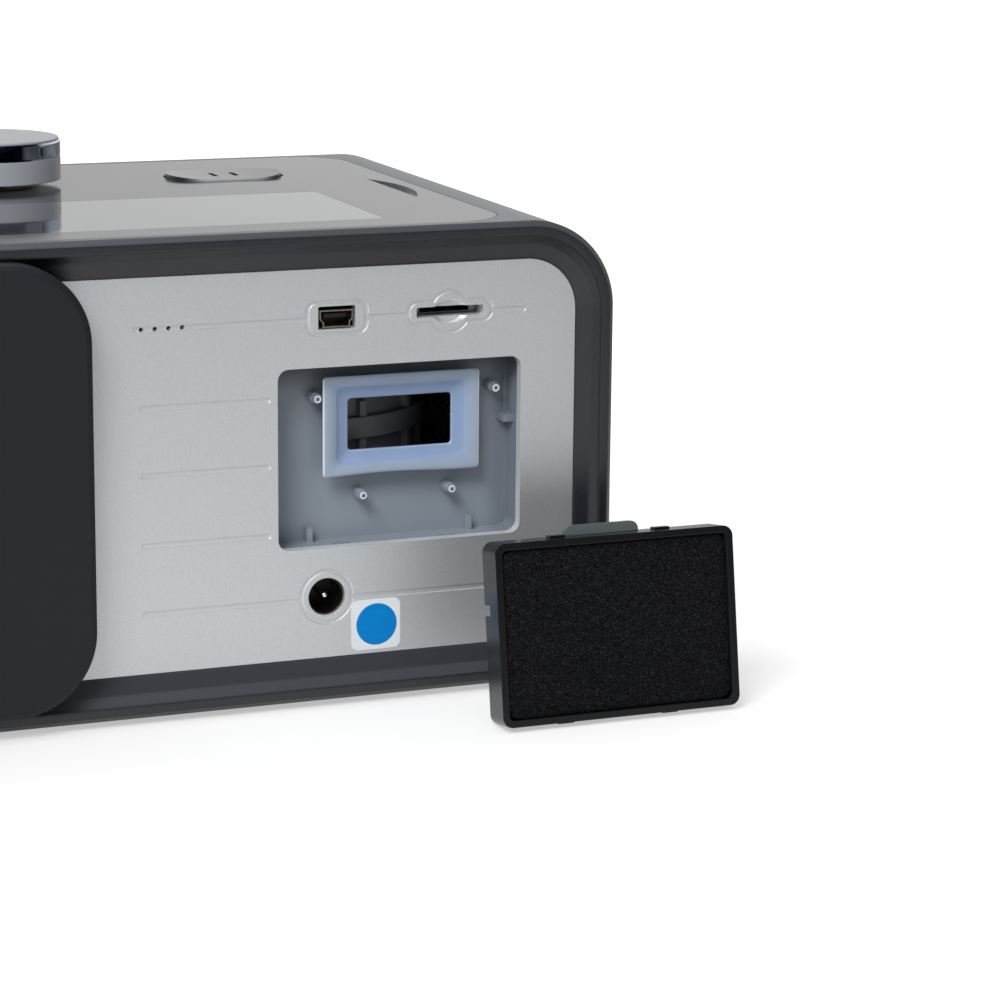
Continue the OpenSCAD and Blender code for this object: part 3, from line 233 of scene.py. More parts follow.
def moulded(name, colour, rough=0.45, shine=0.5, grain=0.0, grain_size=0.4, fleck=0.0,
            edge=0.25, **constants):
    """A moulded or painted surface: colour, sheen, and a fine grain, sizes in mm."""
    finish = Finish(bpy.data.materials.new(name))
    where = finish.add("ShaderNodeTexCoord", out="Object")
    fine = finish.add("ShaderNodeTexNoise", {}, {"Vector": where, "Scale": 1000 / grain_size,
                                                 "Detail": 2.0})
    broad = finish.add("ShaderNodeTexNoise", {}, {"Vector": where, "Scale": 22.0, "Detail": 3.0})
    tone = (fine - 0.5) * fleck + (broad - 0.5) * 0.05
    dark, light = ([min(1.0, c * k) for c in colour[:3]] + [1.0] for k in (0.7, 1.3))
    base = finish.mix((tone + 0.5).between(0.0, 1.0), dark, light)
    corner = finish.add("ShaderNodeBevel", {"samples": 4}, {"Radius": edge * mm})
    normal = finish.add("ShaderNodeBump", {}, {"Strength": grain, "Distance": 0.05 * mm,
                                               "Height": fine, "Normal": corner})
    finish.shader = finish.add("ShaderNodeBsdfPrincipled", {}, {
        "Base Color": base, "Roughness": rough + (broad - 0.5) * 0.08, "Normal": normal,
        "Specular IOR Level": shine, **constants})
    finish.add("ShaderNodeOutputMaterial", {}, {0: finish.shader})
    finish.base, finish.where, finish.normal = base, where, normal
    return finish


def dress(finish, *names):
    """Puts a finish on CAD nodes."""
    for name in names:
        materials = nodes[name].data.materials
        if not len(materials):
            materials.append(finish.owner)
        for place in range(len(materials)):
            materials[place] = finish.owner


# Painted light and shade: the faces that look up are painted paler, as lit from above,
# and those that look down are painted darker, as shaded.
slate = moulded("slate_spark_texture_painted_light", ink(33, 35, 41), 0.3, 0.5, 1.0, 0.6, 0.9, 0.9)
rise = slate.normal_part(2)
painted_top_light = slate.mix(0.5, slate.base, ink(78, 81, 88))
tops_painted_light = slate.mix(rise.inside(0.3, 0.25), painted_top_light, slate.base)
slate.recolour(slate.mix(rise.inside(-0.25, 0.2), tops_painted_light, ink(21, 23, 28)))
dress(slate, "sleeve")
dress(moulded("zinc_screw", ink(150, 150, 152), 0.3, 0.5, 0.1, 0.5, Metallic=1.0), "case_screws")


# --- feet ----------------------------------------------------------------------------
# Four round black rubber pads, pressed into shallow seats in the base. Their lower edge
# is rounded and their skin is dull.


def skin(name, loops, caps=True, wrap=False):
    """A mesh through loops of as many points each, closed at its ends or back on itself."""
    count = len(loops[0])
    points = [p for loop in loops for p in loop]
    faces = []
    for i in range(len(loops) if wrap else len(loops) - 1):
        a, b = i * count, (i + 1) % len(loops) * count
        for j in range(count):
            k = (j + 1) % count
            faces.append((a + j, a + k, b + k, b + j))
    if caps and not wrap:
        faces.append(tuple(reversed(range(count))))
        faces.append(tuple(range((len(loops) - 1) * count, len(loops) * count)))
    mesh = bpy.data.meshes.new(name)
    mesh.from_pydata([tuple(p) for p in points], [], faces)
    mesh.update()
    mesh.shade_smooth()
    piece = bpy.data.objects.new(name, mesh)
    bpy.context.scene.collection.objects.link(piece)
    return piece


def turned_loops(profile, centre, count=48, along="Z"):
    """Circles about an axis through centre, from (radius, height) pairs in mm."""
    loops = []
    for radius, height in profile:
        loop = []
        for j in range(count):
            a = 2 * math.pi * j / count
            u, v = radius * math.cos(a) * mm, radius * math.sin(a) * mm
            loop.append(centre + Vector({"Z": (u, v, height * mm), "Y": (v, height * mm, u),
                                         "X": (height * mm, u, v)}[along]))
        loops.append(loop)
    return loops


def fit(piece, finish, body, slot, *replaced):
    """Gives a piece its finish, its body and the CAD nodes that it stands for. The slot is not
    used.
    """
    piece.data.materials.append(finish.owner)
    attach(piece, body)
    if replaced:
        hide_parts(*replaced)
    return piece


def joined(name, pieces):
    """Several meshes as one piece."""
    points, faces = [], []
    for piece in pieces:
        start = len(points)
        points += [tuple(v.co) for v in piece.data.vertices]
        faces += [tuple(start + i for i in p.vertices) for p in piece.data.polygons]
        bpy.data.objects.remove(piece)
    mesh = bpy.data.meshes.new(name)
    mesh.from_pydata(points, [], faces)
    mesh.shade_smooth()
    one = bpy.data.objects.new(name, mesh)
    bpy.context.scene.collection.objects.link(one)
    return one


foot_low, foot_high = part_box("feet")
foot_radius, foot_height = 7.0, 2.3
foot_profile = [(0.4, 0.35), (4.2, 0.35), (4.6, 0.0), (5.9, 0.0), (6.3, 0.15), (6.75, 0.6),
                (6.95, 1.0), (foot_radius, 1.4), (foot_radius, foot_height), (0.4, foot_height)]
pads = []
for foot_x in (foot_low.x + foot_radius * mm, foot_high.x - foot_radius * mm):
    for foot_y in (foot_low.y + foot_radius * mm, foot_high.y - foot_radius * mm):
        pads.append(skin("pad", turned_loops(foot_profile, Vector((foot_x, foot_y, 0)))))
black_rubber = moulded("black_rubber", ink(22, 22, 23), 0.75, 0.3, 0.3, 0.3, 0.3)
fit(joined("foot_pads", pads), black_rubber, "housing", "rubber", "feet")


# --- silver panels -------------------------------------------------------------------
# The rear panel and the user's panel are flat mouldings, sprayed with a fine aluminium
# paint. Sunk tracks run across the rear one. Their cut edges are painted white, a painted
# highlight where they would catch the light.

silver = moulded("aluminium_paint_edge_highlight", ink(206, 209, 212), 0.46, 0.5, 0.16, 0.3, 0.6, 0.16,
                 Metallic=0.72)
# Painted highlight: the faces that look sideways, the cut edges, are painted white.
painted_edge_highlight = silver.normal_part(1).math("ABSOLUTE").inside(0.5, 0.2)
silver.recolour(silver.mix(painted_edge_highlight, silver.base, (1, 1, 1, 1)))
dress(silver, "rear_panel", "front_panel")


# --- label ---------------------------------------------------------------------------
# A square of white film with round corners, stuck beside the power socket. A plain blue
# disc is printed on it, with no sign.

film = Finish(bpy.data.materials.new("printed_film"))
film_low, film_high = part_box("panel_label")
film_centre = (film_low + film_high) / 2
disc_radius, disc_right = 4.75, 0.15
film_where = film.add("ShaderNodeTexCoord", out="Object")
film_offset = film.add("ShaderNodeVectorMath", {"operation": "SUBTRACT"}, {
    0: film_where, 1: (film_centre.x + disc_right * mm, film_centre.y, film_centre.z)})
film_flat = film.add("ShaderNodeVectorMath", {"operation": "MULTIPLY"}, {
    0: film_offset, 1: (1, 0, 1)})
film_reach = film.add("ShaderNodeVectorMath", {"operation": "LENGTH"}, {0: film_flat}, "Value")
film_ink = film_reach.inside(disc_radius * mm, 0.06 * mm)
film_speckle = film.add("ShaderNodeTexNoise", {}, {"Vector": film_where, "Scale": 900.0})
film_blue = film.mix(film_speckle, ink(0, 126, 204), ink(0, 140, 220))
film_white = film.mix(film_speckle, ink(232, 238, 242), ink(240, 244, 247))
film_shader = film.add("ShaderNodeBsdfPrincipled", {}, {
    "Base Color": film.mix(film_ink, film_white, film_blue), "Roughness": 0.5 + 0.05 * film_speckle,
    "Specular IOR Level": 0.15})
film.add("ShaderNodeOutputMaterial", {}, {0: film_shader})
dress(film, "panel_label")


# --- sockets -------------------------------------------------------------------------
# Behind the panel stand the mini socket's folded steel shell with its black tongue, the
# card reader's stamped cover, and the black power socket with its turned centre pin.

dress(moulded("folded_steel", ink(136, 126, 110), 0.28, 0.5, 0.1, 0.6, 0.15, 0.12, Metallic=1.0),
      "usb_shell")
dress(moulded("stamped_cover", ink(120, 122, 126), 0.35, 0.5, 0.1, 0.6, 0.15, 0.15, Metallic=0.9),
      "card_reader")
dress(moulded("socket_black", ink(16, 16, 17), 0.3, 0.4, 0.1, 0.4, 0.1, 0.2), "power_jack",
      "usb_tongue")
dress(moulded("turned_pin", ink(226, 226, 228), 0.24, 0.5, 0.05, 0.4, 0.1, 0.1, Metallic=1.0),
      "power_pin")


# --- filter bay ----------------------------------------------------------------------
# A shallow tray of blue-grey polypropylene behind the opening, with four stand-off posts,
# ribs and snap blocks. The posts' tips are tubes, whose rims are painted pale as a painted
# highlight, and grey discs in their bores are painted shade. The tray is painted darker at
# its right side and darker still along its top, painted shade inside the opening's edge.

bay_plastic = moulded("blue_grey_tray_painted_shade", ink(139, 148, 158), 0.34, 0.4, 0.08, 0.8, 0.06, 0.2)
bay_shade = at(93.5, 0, 71.5)  # darker right of this point, and darker still over it
# Painted shade: the right side and the top of the tray are painted darker.
unshaded_left = bay_plastic.part(bay_plastic.where, 0).inside(bay_shade.x, 3 * mm)
unshaded_below = bay_plastic.part(bay_plastic.where, 2).inside(bay_shade.z, 4 * mm)
painted_side_shade = bay_plastic.mix(unshaded_left, ink(118, 126, 136), bay_plastic.base)
bay_plastic.recolour(bay_plastic.mix(unshaded_below, ink(66, 71, 77), painted_side_shade))
dress(bay_plastic, "filter_bay")
bay_centre = (68.8, 55.2)
post_places = [(-17.6, 12.2), (24.2, 12.2), (-7.0, -10.1), (13.9, -10.1)]
post_tip, tip_radius, tip_bore = 4.7, 0.94, 0.36
tip_profile = [(tip_bore, 1.5), (tip_bore, 0.05), (0.5, -0.08), (0.76, -0.08), (0.9, 0.05),
               (tip_radius, 0.7)]
posts = [at(bay_centre[0] + x, post_tip, bay_centre[1] + z) for x, z in post_places]
# Painted highlight: pale rims on the posts' tips.
tips = [skin("tip", turned_loops(tip_profile, post, 24, "Y"), caps=False) for post in posts]
fit(joined("post_rims", tips), moulded("rim_painted_highlight", ink(212, 218, 228), 0.3, 0.6, 0.0, 0.5, 0.05),
    "housing", "bay")
# Painted shade: a grey disc closes each post's bore.
bore_depth, bore_half = 0.6, tip_bore + 0.03
bore_profile = [(0.02, 0.55), (bore_half, 0.55), (bore_half, bore_depth), (0.02, bore_depth)]
bores = [skin("bore", turned_loops(bore_profile, post - Vector((0, bore_depth * mm, 0)), 16, "Y"))
         for post in posts]
fit(joined("post_bores", bores), moulded("bore_painted_shade", ink(112, 117, 124), 0.6, 0.2),
    "housing", "bay")


# --- inlet seal ----------------------------------------------------------------------
# A soft milky silicone gasket that the cartridge presses on. Its thin outer lip stands
# forward, funnels in to the air window and carries on through the tray as a short duct.


def matched(shapes):
    """Rounded rectangles resampled to the same number of points, corner by corner."""
    arc_steps, side_steps = 8, 14
    result = []
    for (w, h, r) in shapes:
        loop = []
        for turn, (sx, sz) in enumerate([(1, 1), (-1, 1), (-1, -1), (1, -1)]):
            for i in range(arc_steps + 1):
                a = math.pi / 2 * (turn + i / arc_steps)
                loop.append((sx * (w - r) + r * math.cos(a), sz * (h - r) + r * math.sin(a)))
            nx, nz = [(-1, 1), (-1, -1), (1, -1), (1, 1)][turn]
            b = math.pi / 2 * (turn + 1)
            end = (nx * (w - r) + r * math.cos(b), nz * (h - r) + r * math.sin(b))
            start = loop[-1]
            loop += [(start[0] + (end[0] - start[0]) * k / side_steps,
                      start[1] + (end[1] - start[1]) * k / side_steps)
                     for k in range(1, side_steps)]
        result.append(loop)
    return result


def seal_ring(half, wider, taller, radius, depth):
    """One section of the seal in mm: half sizes with an addition, corner radius and depth."""
    return half[0] + wider, half[1] + taller, radius, depth


seal_low, seal_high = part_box("inlet_seal")
seal_centre = (seal_low + seal_high) / 2
seal_half = ((seal_high.x - seal_low.x) / 2 / mm, (seal_high.z - seal_low.z) / 2 / mm)
duct_half, duct_in, window_half = (15.45, 8.5), (14.3, 7.35), (12.1, 5.75)
seal_depth = (seal_high.y - seal_low.y) / mm
seal_section = [
    seal_ring(seal_half, 0, 0, 0.8, 0.14), seal_ring(seal_half, 0, 0, 0.8, 0.5),
    seal_ring(seal_half, -0.08, -0.08, 0.8, 0.62), seal_ring(seal_half, -2.3, -2.3, 1.4, 0.9),
    seal_ring(duct_half, 0.4, 0.2, 2.0, 1.8), seal_ring(duct_half, 0, 0, 2.0, 2.05),
    seal_ring(duct_half, 0, 0, 2.0, seal_depth), seal_ring(duct_in, 0, 0, 0.9, seal_depth),
    seal_ring(duct_in, 0, 0, 0.9, 2.05), seal_ring(window_half, 0.1, 0.1, 0.9, 1.95),
    seal_ring(window_half, 0, 0, 0.8, 1.8), seal_ring(window_half, 0.12, 0.12, 0.9, 1.35),
    seal_ring(window_half, 0.5, 0.5, 1.1, 1.25), seal_ring(window_half, 2.0, 1.9, 1.3, 1.05),
    seal_ring(window_half, 2.9, 2.6, 1.4, 0.45), seal_ring(window_half, 3.3, 3.0, 1.4, 0.12),
    seal_ring(seal_half, -0.7, -0.7, 1.0, 0.0), seal_ring(seal_half, -0.12, -0.12, 0.8, 0.02)]
seal_loops = []
for (w, h, r, depth), loop in zip(seal_section, matched([s[:3] for s in seal_section])):
    free = max(0.0, (w - duct_half[0]) / (seal_half[0] - duct_half[0])) if depth < 1.0 else 0.0
    wave = [0.0 if z > 0 else free * (0.28 * math.cos(0.17 * x + 0.6) - 0.12) for x, z in loop]
    seal_loops.append([Vector((seal_centre.x + x * mm, seal_low.y + depth * mm,
                               seal_centre.z + (z + dz) * mm)) for (x, z), dz in zip(loop, wave)])
seal_piece = skin("inlet_gasket", seal_loops, wrap=True)
silicone = Finish(bpy.data.materials.new("milky_silicone"))
seal_where = silicone.add("ShaderNodeTexCoord", out="Object")
seal_away = silicone.add("ShaderNodeVectorMath", {"operation": "SUBTRACT"}, {
    0: seal_where, 1: tuple(seal_centre)})
seal_away = silicone.add("ShaderNodeVectorMath", {"operation": "ABSOLUTE"}, {0: seal_away})
seal_x, seal_z = silicone.part(seal_away, 0), silicone.part(seal_away, 2)
flange_w = 6.2
seal_out = (seal_x - window_half[0] * mm).math("MAXIMUM", seal_z - window_half[1] * mm)
# The seal's blue-grey tint, which pales to white towards its outer edge as a painted highlight.
# Past the flange the colour is the milky white of the pipe, bellows and gasket.
seal_tint_and_highlight = silicone.add("ShaderNodeValToRGB", {"stops": [
    (0.0, ink(160, 178, 206)), (0.05, ink(138, 160, 196)), (0.42, ink(136, 158, 194)),
    (0.52, ink(150, 167, 190)), (0.94, ink(160, 175, 192)), (0.985, ink(232, 238, 244))]},
    {0: seal_out / (flange_w * mm)})
seal_cloud = silicone.add("ShaderNodeTexNoise", {}, {"Vector": seal_where, "Scale": 160.0})
seal_colour = silicone.mix(seal_cloud * 0.18, seal_tint_and_highlight, ink(182, 196, 212))
seal_shader = silicone.add("ShaderNodeBsdfPrincipled", {}, {
    "Base Color": seal_colour, "Roughness": 0.36 + 0.1 * seal_cloud, "Subsurface Weight": 0.25,
    "Subsurface Radius": (1, 1, 1), "Subsurface Scale": 0.0008, "Specular IOR Level": 0.35})
silicone.add("ShaderNodeOutputMaterial", {}, {0: seal_shader})
fit(seal_piece, silicone, "housing", "silicone", "inlet_seal")


# --- filter cartridge ----------------------------------------------------------------
# A loose frame of smoky clear plastic with clips and a pull tab holds a pad of black open
# cell foam. It stands taken out, leaning back on its lower clips. Its left wall, which faces
# the lamp, is painted paler: painted light.

frame_depth, clip_down, clip_back = 7.6, 0.6, 3.95
lean = math.atan(clip_down / (frame_depth - clip_back))
stand = (Matrix.Translation(at(79.2, -28.8, 0)) @ Matrix.Rotation(-lean, 4, "X")
         @ Matrix.Translation((0, -frame_depth * mm, 0)))
smoky = moulded("smoky_clear_plastic", ink(11, 13, 15), 0.25, 0.4, 0.04, 0.8, 0.1, 0.3)
# Painted light: the faces that look left, towards the lamp, are paler.
painted_lit_left = smoky.normal_part(0).inside(-0.5, 0.3)
smoky.recolour(smoky.mix(painted_lit_left, smoky.base, ink(30, 34, 37)))
dress(smoky, "filter_frame")
dress(moulded("clear_tab", ink(92, 100, 102), 0.3, 0.5, 0.04, 0.8, 0.1, 0.3), "filter_tab")


def cellular(name, size, deep, strand):
    """Open foam: dark cells of a size in mm between strands, whose glints are painted in as pale
    specks.
    """
    finish = Finish(bpy.data.materials.new(name))
    where = finish.add("ShaderNodeTexCoord", out="Object")
    small = finish.add("ShaderNodeTexNoise", {}, {
        "Vector": where, "Scale": 1000 / size, "Detail": 3.0, "Roughness": 0.7})
    cells = finish.add("ShaderNodeTexVoronoi", {"feature": "F1"}, {
        "Vector": where, "Scale": 1250 / size})
    painted_glint = ((small - 0.48) / 0.2).between(0.0, 1.0)
    bump = finish.add("ShaderNodeBump", {}, {
        "Strength": 0.8, "Distance": 0.3 * mm, "Height": cells + small})
    shader = finish.add("ShaderNodeBsdfPrincipled", {}, {
        "Base Color": finish.mix(painted_glint, deep, strand), "Roughness": 0.8 + 0.1 * small,
        "Normal": bump, "Specular IOR Level": 0.1})
    finish.add("ShaderNodeOutputMaterial", {}, {0: shader})
    return finish


pores = cellular("open_cell_foam", 0.34, ink(4, 4, 5), ink(50, 52, 55))


def foam_pad(name, half_w, half_h, radius, thick, crown, place, step=0.9):
    """A cut foam pad with soft edges and a rough crowned face, about its own middle."""
    section = [(0.35, 1.0), (0.1, 0.75), (0.0, 0.5), (0.0, 0.22), (0.12, 0.08), (0.4, 0.0)]
    shapes, depths = [], []
    for inset, depth in section:
        shapes.append((half_w - inset, half_h - inset, radius - min(inset, radius * 0.5)))
        depths.append(depth * thick)
    inner = max(6, int(half_h / step))
    for i in range(1, inner):
        share = 1 - i / inner
        shapes.append((0.4 + (half_w - 0.8) * share, 0.4 + (half_h - 0.8) * share,
                       max(0.2, radius * share)))
        depths.append(-crown * (1 - share ** 2))
    loops = []
    for loop, depth in zip(matched(shapes), depths):
        ring = []
        for x, z in loop:
            rough = noise.noise(Vector((x, z, depth)) * 0.9) * 0.16
            ring.append(place @ Vector((x * mm, (depth + rough) * mm, z * mm)))
        loops.append(ring)
    return skin(name, loops)


cartridge_w, cartridge_h, cartridge_wall, foam_sunk = 56.15, 39.75, 1.55, 0.75
foam_half = (cartridge_w / 2 - cartridge_wall, cartridge_h / 2 - cartridge_wall)
foam_place = stand @ Matrix.Translation((cartridge_w / 2 * mm, foam_sunk * mm,
                                         cartridge_h / 2 * mm))
filter_pad = foam_pad("filter_pad", *foam_half, 2.6, 2.2, 0.35, foam_place)
fit(filter_pad, pores, "filter_cartridge", "foam", "filter_foam")


# --- rear cover and hose outlet ------------------------------------------------------
# A dark blank cover, screwed on behind the humidifier, with soft touch paint. The smooth
# outlet that the hose's cuff pushes on comes through its middle from the dock behind.

soft_touch = moulded("soft_touch_paint", ink(31, 34, 39), 0.5, 0.2, 0.45, 0.35, 0.3, 0.4)
dress(soft_touch, "rear_cover")
dress(moulded("outlet_plastic", ink(40, 42, 46), 0.28, 0.4, 0.05, 0.6, 0.1, 0.3), "hose_outlet")
inner_plastic = moulded("inner_dark_plastic", ink(38, 40, 43), 0.5, 0.3, 0.15, 0.6, 0.15, 0.3)
dress(inner_plastic, "dock_plate", "dock_wall", "tank_dock")


# --- top panel, display and buttons --------------------------------------------------
# A glossy gunmetal panel closes the top. A dark glass window lies over the display, and
# of the two dished oval keys beside the knob one carries two printed strokes. Where that
# key dips, its low wall is painted pale, a painted highlight.

gunmetal = moulded("gunmetal_gloss", ink(44, 46, 50), 0.12, 0.55, 0.0, 0.3, 0.12, 0.2)
dress(gunmetal, "top_panel", "back_button")

key_low, key_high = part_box("start_button")
key_dip, stroke_gap, stroke_half_w, stroke_half_l = 0.6, 2.6, 0.55, 2.7
key_middle = Vector(((key_low.x + key_high.x) / 2, (key_low.y + key_high.y) / 2,
                     key_high.z - key_dip * mm))


def stroke_loop(side, up):
    """The outline of one printed stroke, at a height in mm from the key's lowest line."""
    return [key_middle + Vector(((side * stroke_gap + x * stroke_half_w) * mm,
                                 y * stroke_half_l * mm, up * mm))
            for x, y in ((-1, -1), (1, -1), (1, 1), (-1, 1))]


strokes = [skin("stroke", [stroke_loop(side, up) for up in (-0.05, 0.06)]) for side in (-1, 1)]
key_ink = moulded("key_ink", ink(30, 31, 36), 0.9, 0.05, 0.0, 0.4, 0.1, 0.02)
fit(joined("key_strokes", strokes), key_ink, "start_button", "button")
key_with_painted_highlight = moulded("gunmetal_key_painted_highlight", ink(44, 46, 50), 0.12, 0.55, 0.0, 0.3, 0.12, 0.2)
# Painted highlight: the low wall near the key's middle is pale.
key_wall = key_with_painted_highlight.normal_part(2).inside(0.6, 0.15)
key_off = (key_with_painted_highlight.part(key_with_painted_highlight.where, 0) - (key_low.x + key_high.x) / 2).math("ABSOLUTE")
painted_wall_highlight = key_wall * key_off.inside(9 * mm, 3 * mm)
key_with_painted_highlight.recolour(key_with_painted_highlight.mix(painted_wall_highlight, key_with_painted_highlight.base, ink(168, 170, 175)))
dress(key_with_painted_highlight, "start_button")

glass = moulded("display_glass", ink(66, 69, 74), 0.05, 0.5, 0.0, 0.5, 0.0, 0.1,
                **{"Coat Weight": 0.5, "Coat Roughness": 0.02})
dress(glass, "display_window")
dress(moulded("display_back", ink(60, 62, 65), 0.5, 0.3, 0.1, 0.6, 0.1), "lcd_module")


# --- knob ----------------------------------------------------------------------------
# A push and turn knob: a light grey body on a steel shaft, a chromed band with one index
# mark, and a cap with an eased edge. It presses a rod in the encoder below. The band's
# colour is a painted reflection: it follows the way the band faces, as chrome's reflections
# of bright windows in a dark room do.

knob_grey = moulded("knob_grey", ink(160, 165, 171), 0.3, 0.45, 0.08, 0.3, 0.12, 0.35)
dress(knob_grey, "knob_body")
dress(moulded("cap_grey", ink(146, 149, 154), 0.34, 0.4, 0.08, 0.3, 0.1, 0.35), "knob_cap")
chrome = moulded("chrome_painted_reflection", ink(228, 229, 232), 0.04, 0.5, 0.0, 0.5, 0.0, 0.15,
                 Metallic=1.0)
# Painted reflection: the band's colour by the way it faces across the view.
turned_away = chrome.add("ShaderNodeVectorMath", {"operation": "DOT_PRODUCT"}, {
    0: chrome.add("ShaderNodeNewGeometry", out="Normal"), 1: tuple(across)}, "Value")
painted_room_reflection = chrome.add("ShaderNodeValToRGB", {"stops": [
    (0.0, ink(150, 156, 164)), (0.18, ink(24, 28, 48)), (0.4, ink(22, 24, 34)),
    (0.46, ink(240, 241, 243)), (0.55, ink(236, 238, 240)), (0.59, ink(18, 20, 26)),
    (0.73, ink(16, 20, 40)), (0.79, ink(30, 38, 72)), (0.82, ink(206, 214, 228)),
    (0.95, ink(190, 198, 212)), (1.0, ink(80, 84, 92))]}, {0: turned_away * 0.5 + 0.5})
chrome.recolour(painted_room_reflection)
dress(chrome, "knob_band")
dress(moulded("encoder_steel", ink(120, 120, 122), 0.35, 0.5, 0.1, 0.6, 0.1, 0.2, Metallic=0.9),
      "encoder_body", "encoder_plunger", "knob_shaft")


# --- sound box and blower ------------------------------------------------------------
# Inside the right half a closed box lined with foam carries the blower on rubber mounts:
# a ribbed scroll, a steel cased motor below it and a pale impeller in it.

dress(inner_plastic, "sound_box", "sound_box_lid")
# Painted light: the scroll is a paler grey than its plastic, as it lies in the dark box and is seen
# through the air window.
dress(moulded("scroll_plastic_painted_light", ink(112, 114, 118), 0.42, 0.35, 0.1, 0.6, 0.12, 0.3),
      "blower_housing")
dress(moulded("motor_case", ink(158, 159, 162), 0.32, 0.5, 0.2, 0.3, 0.15, 0.3, Metallic=0.95),
      "blower_motor")
dress(moulded("impeller_nylon", ink(206, 208, 210), 0.3, 0.5, 0.05, 0.5, 0.05, 0.15), "impeller")
lining_low, lining_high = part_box("chamber_foam")
lining_t, lining_gap, corner_cut = 7.0, 0.3, 6.0


def at_box(low, high):
    """The middle of a box, for placing a foam block."""
    return Matrix.Translation((low + high) / 2)


def foam_block(name, low, high):
    """A foam slab between two corners, its large rough face towards the blower."""
    size = (high - low) / mm
    if size.x < size.y:
        turn, half_w, thick = math.radians(-90), size.y / 2, size.x
    else:
        turn, half_w, thick = 0.0, size.x / 2, size.y
    place = (at_box(low, high) @ Matrix.Rotation(turn, 4, "Z")
             @ Matrix.Translation((0, -thick / 2 * mm, 0)))
    return foam_pad(name, half_w - 0.2, size.z / 2 - 0.2, 1.5, thick - 0.4, 0.1, place, 4.0)


side_low = Vector((lining_high.x - lining_t * mm, lining_low.y, lining_low.z + corner_cut * mm))
end_low = Vector((lining_low.x, lining_high.y - lining_t * mm, lining_low.z))
end_high = Vector((lining_high.x - (lining_t + lining_gap) * mm, lining_high.y, lining_high.z))
linings = [foam_block("lining_side", side_low, lining_high),
           foam_block("lining_end", end_low, end_high)]
lining = joined("chamber_lining", linings)
# Painted light: the lining's colours are paler than its dark charcoal, as little light reaches into
# the closed box.
fit(lining, cellular("lining_foam_painted_light", 0.6, ink(66, 64, 62), ink(236, 232, 226)), "housing", "foam",
    "chamber_foam")

mount_low, mount_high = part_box("blower_mounts")
mount_reach = (mount_high.x - mount_low.x) / 2 / mm - 4.4
blower_x = (mount_low.x + mount_high.x) / 2
blower_y = (mount_low.y + mount_high.y) / 2
mount_tall = (mount_high.z - mount_low.z) / mm
mount_profile = [(0.3, 0.0), (3.3, 0.0)]
for i in range(4):
    h = 4 + i * 6
    mount_profile += [(3.3, h - 0.4), (3.9, h + 0.2), (4.35, h + 0.9), (4.35, h + 1.5),
                      (3.9, h + 2.2), (3.3, h + 2.8)]
mount_profile += [(3.3, mount_tall), (0.3, mount_tall)]
grommets = [skin("grommet", turned_loops(mount_profile, Vector((blower_x + sx * mount_reach * mm,
                                                                blower_y + sy * mount_reach * mm,
                                                                mount_low.z)), 32))
            for sx in (-1, 1) for sy in (-1, 1)]
fit(joined("rubber_mounts", grommets), black_rubber, "housing", "rubber", "blower_mounts")


# --- air pipe ------------------------------------------------------------------------
# A soft silicone pipe takes the air from the blower's outlet across to the humidifier's
# dock, round one bend. Shallow ribs let it flex, and a cuff grips the blower's stub.

pipe_low, pipe_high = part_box("air_pipe")
pipe_out, pipe_in = 12.1, 9.25
pipe_z = (pipe_low.z + pipe_high.z) / 2
turn_x = pipe_low.x + pipe_out * mm
run_y = pipe_low.y + pipe_out * mm
bend = 11.0
bend_x, bend_y = turn_x + bend * mm, run_y + bend * mm
run_steps, bend_steps, end_steps = 24, 12, 4
pipe_path = [Vector((pipe_high.x + (bend_x - pipe_high.x) * i / run_steps, run_y, pipe_z))
             for i in range(run_steps)]
for i in range(bend_steps + 1):
    a = math.pi / 2 * i / bend_steps
    pipe_path.append(Vector((turn_x + (bend - bend * math.sin(a)) * mm,
                             run_y + (bend - bend * math.cos(a)) * mm, pipe_z)))
pipe_path += [Vector((turn_x, bend_y + (pipe_high.y - bend_y) * i / end_steps, pipe_z))
              for i in range(1, end_steps + 1)]


def tube_loops(path, radii, count=40):
    """Circles across a level path, one for each point and radius."""
    loops, up = [], Vector((0, 0, 1))
    for i, (point, radius) in enumerate(zip(path, radii)):
        ahead = (path[min(i + 1, len(path) - 1)] - path[max(i - 1, 0)]).normalized()
        side = ahead.cross(up)
        loops.append([point + radius * mm * (math.cos(a) * side + math.sin(a) * up)
                      for a in (2 * math.pi * j / count for j in range(count))])
    return loops


cuff_loops, cuff_bore, rib_deep = 4, 10.6, 0.9
pipe_radii = [pipe_out if i < cuff_loops or i > len(pipe_path) - 3
              else pipe_out - rib_deep + rib_deep * (i % 2) for i in range(len(pipe_path))]
bore_radii = [cuff_bore if i < cuff_loops else pipe_in for i in range(len(pipe_path))]
outer, inner_wall = tube_loops(pipe_path, pipe_radii), tube_loops(pipe_path, bore_radii)
fit(skin("silicone_pipe", outer + inner_wall[::-1], wrap=True), silicone, "housing", "silicone",
    "air_pipe")


# --- humidifier dock and heater ------------------------------------------------------
# An open bay in the left half takes the water tank. Two soft bellows on its back wall meet
# the tank's ports, and a sprung aluminium plate in its floor warms the tank's base.

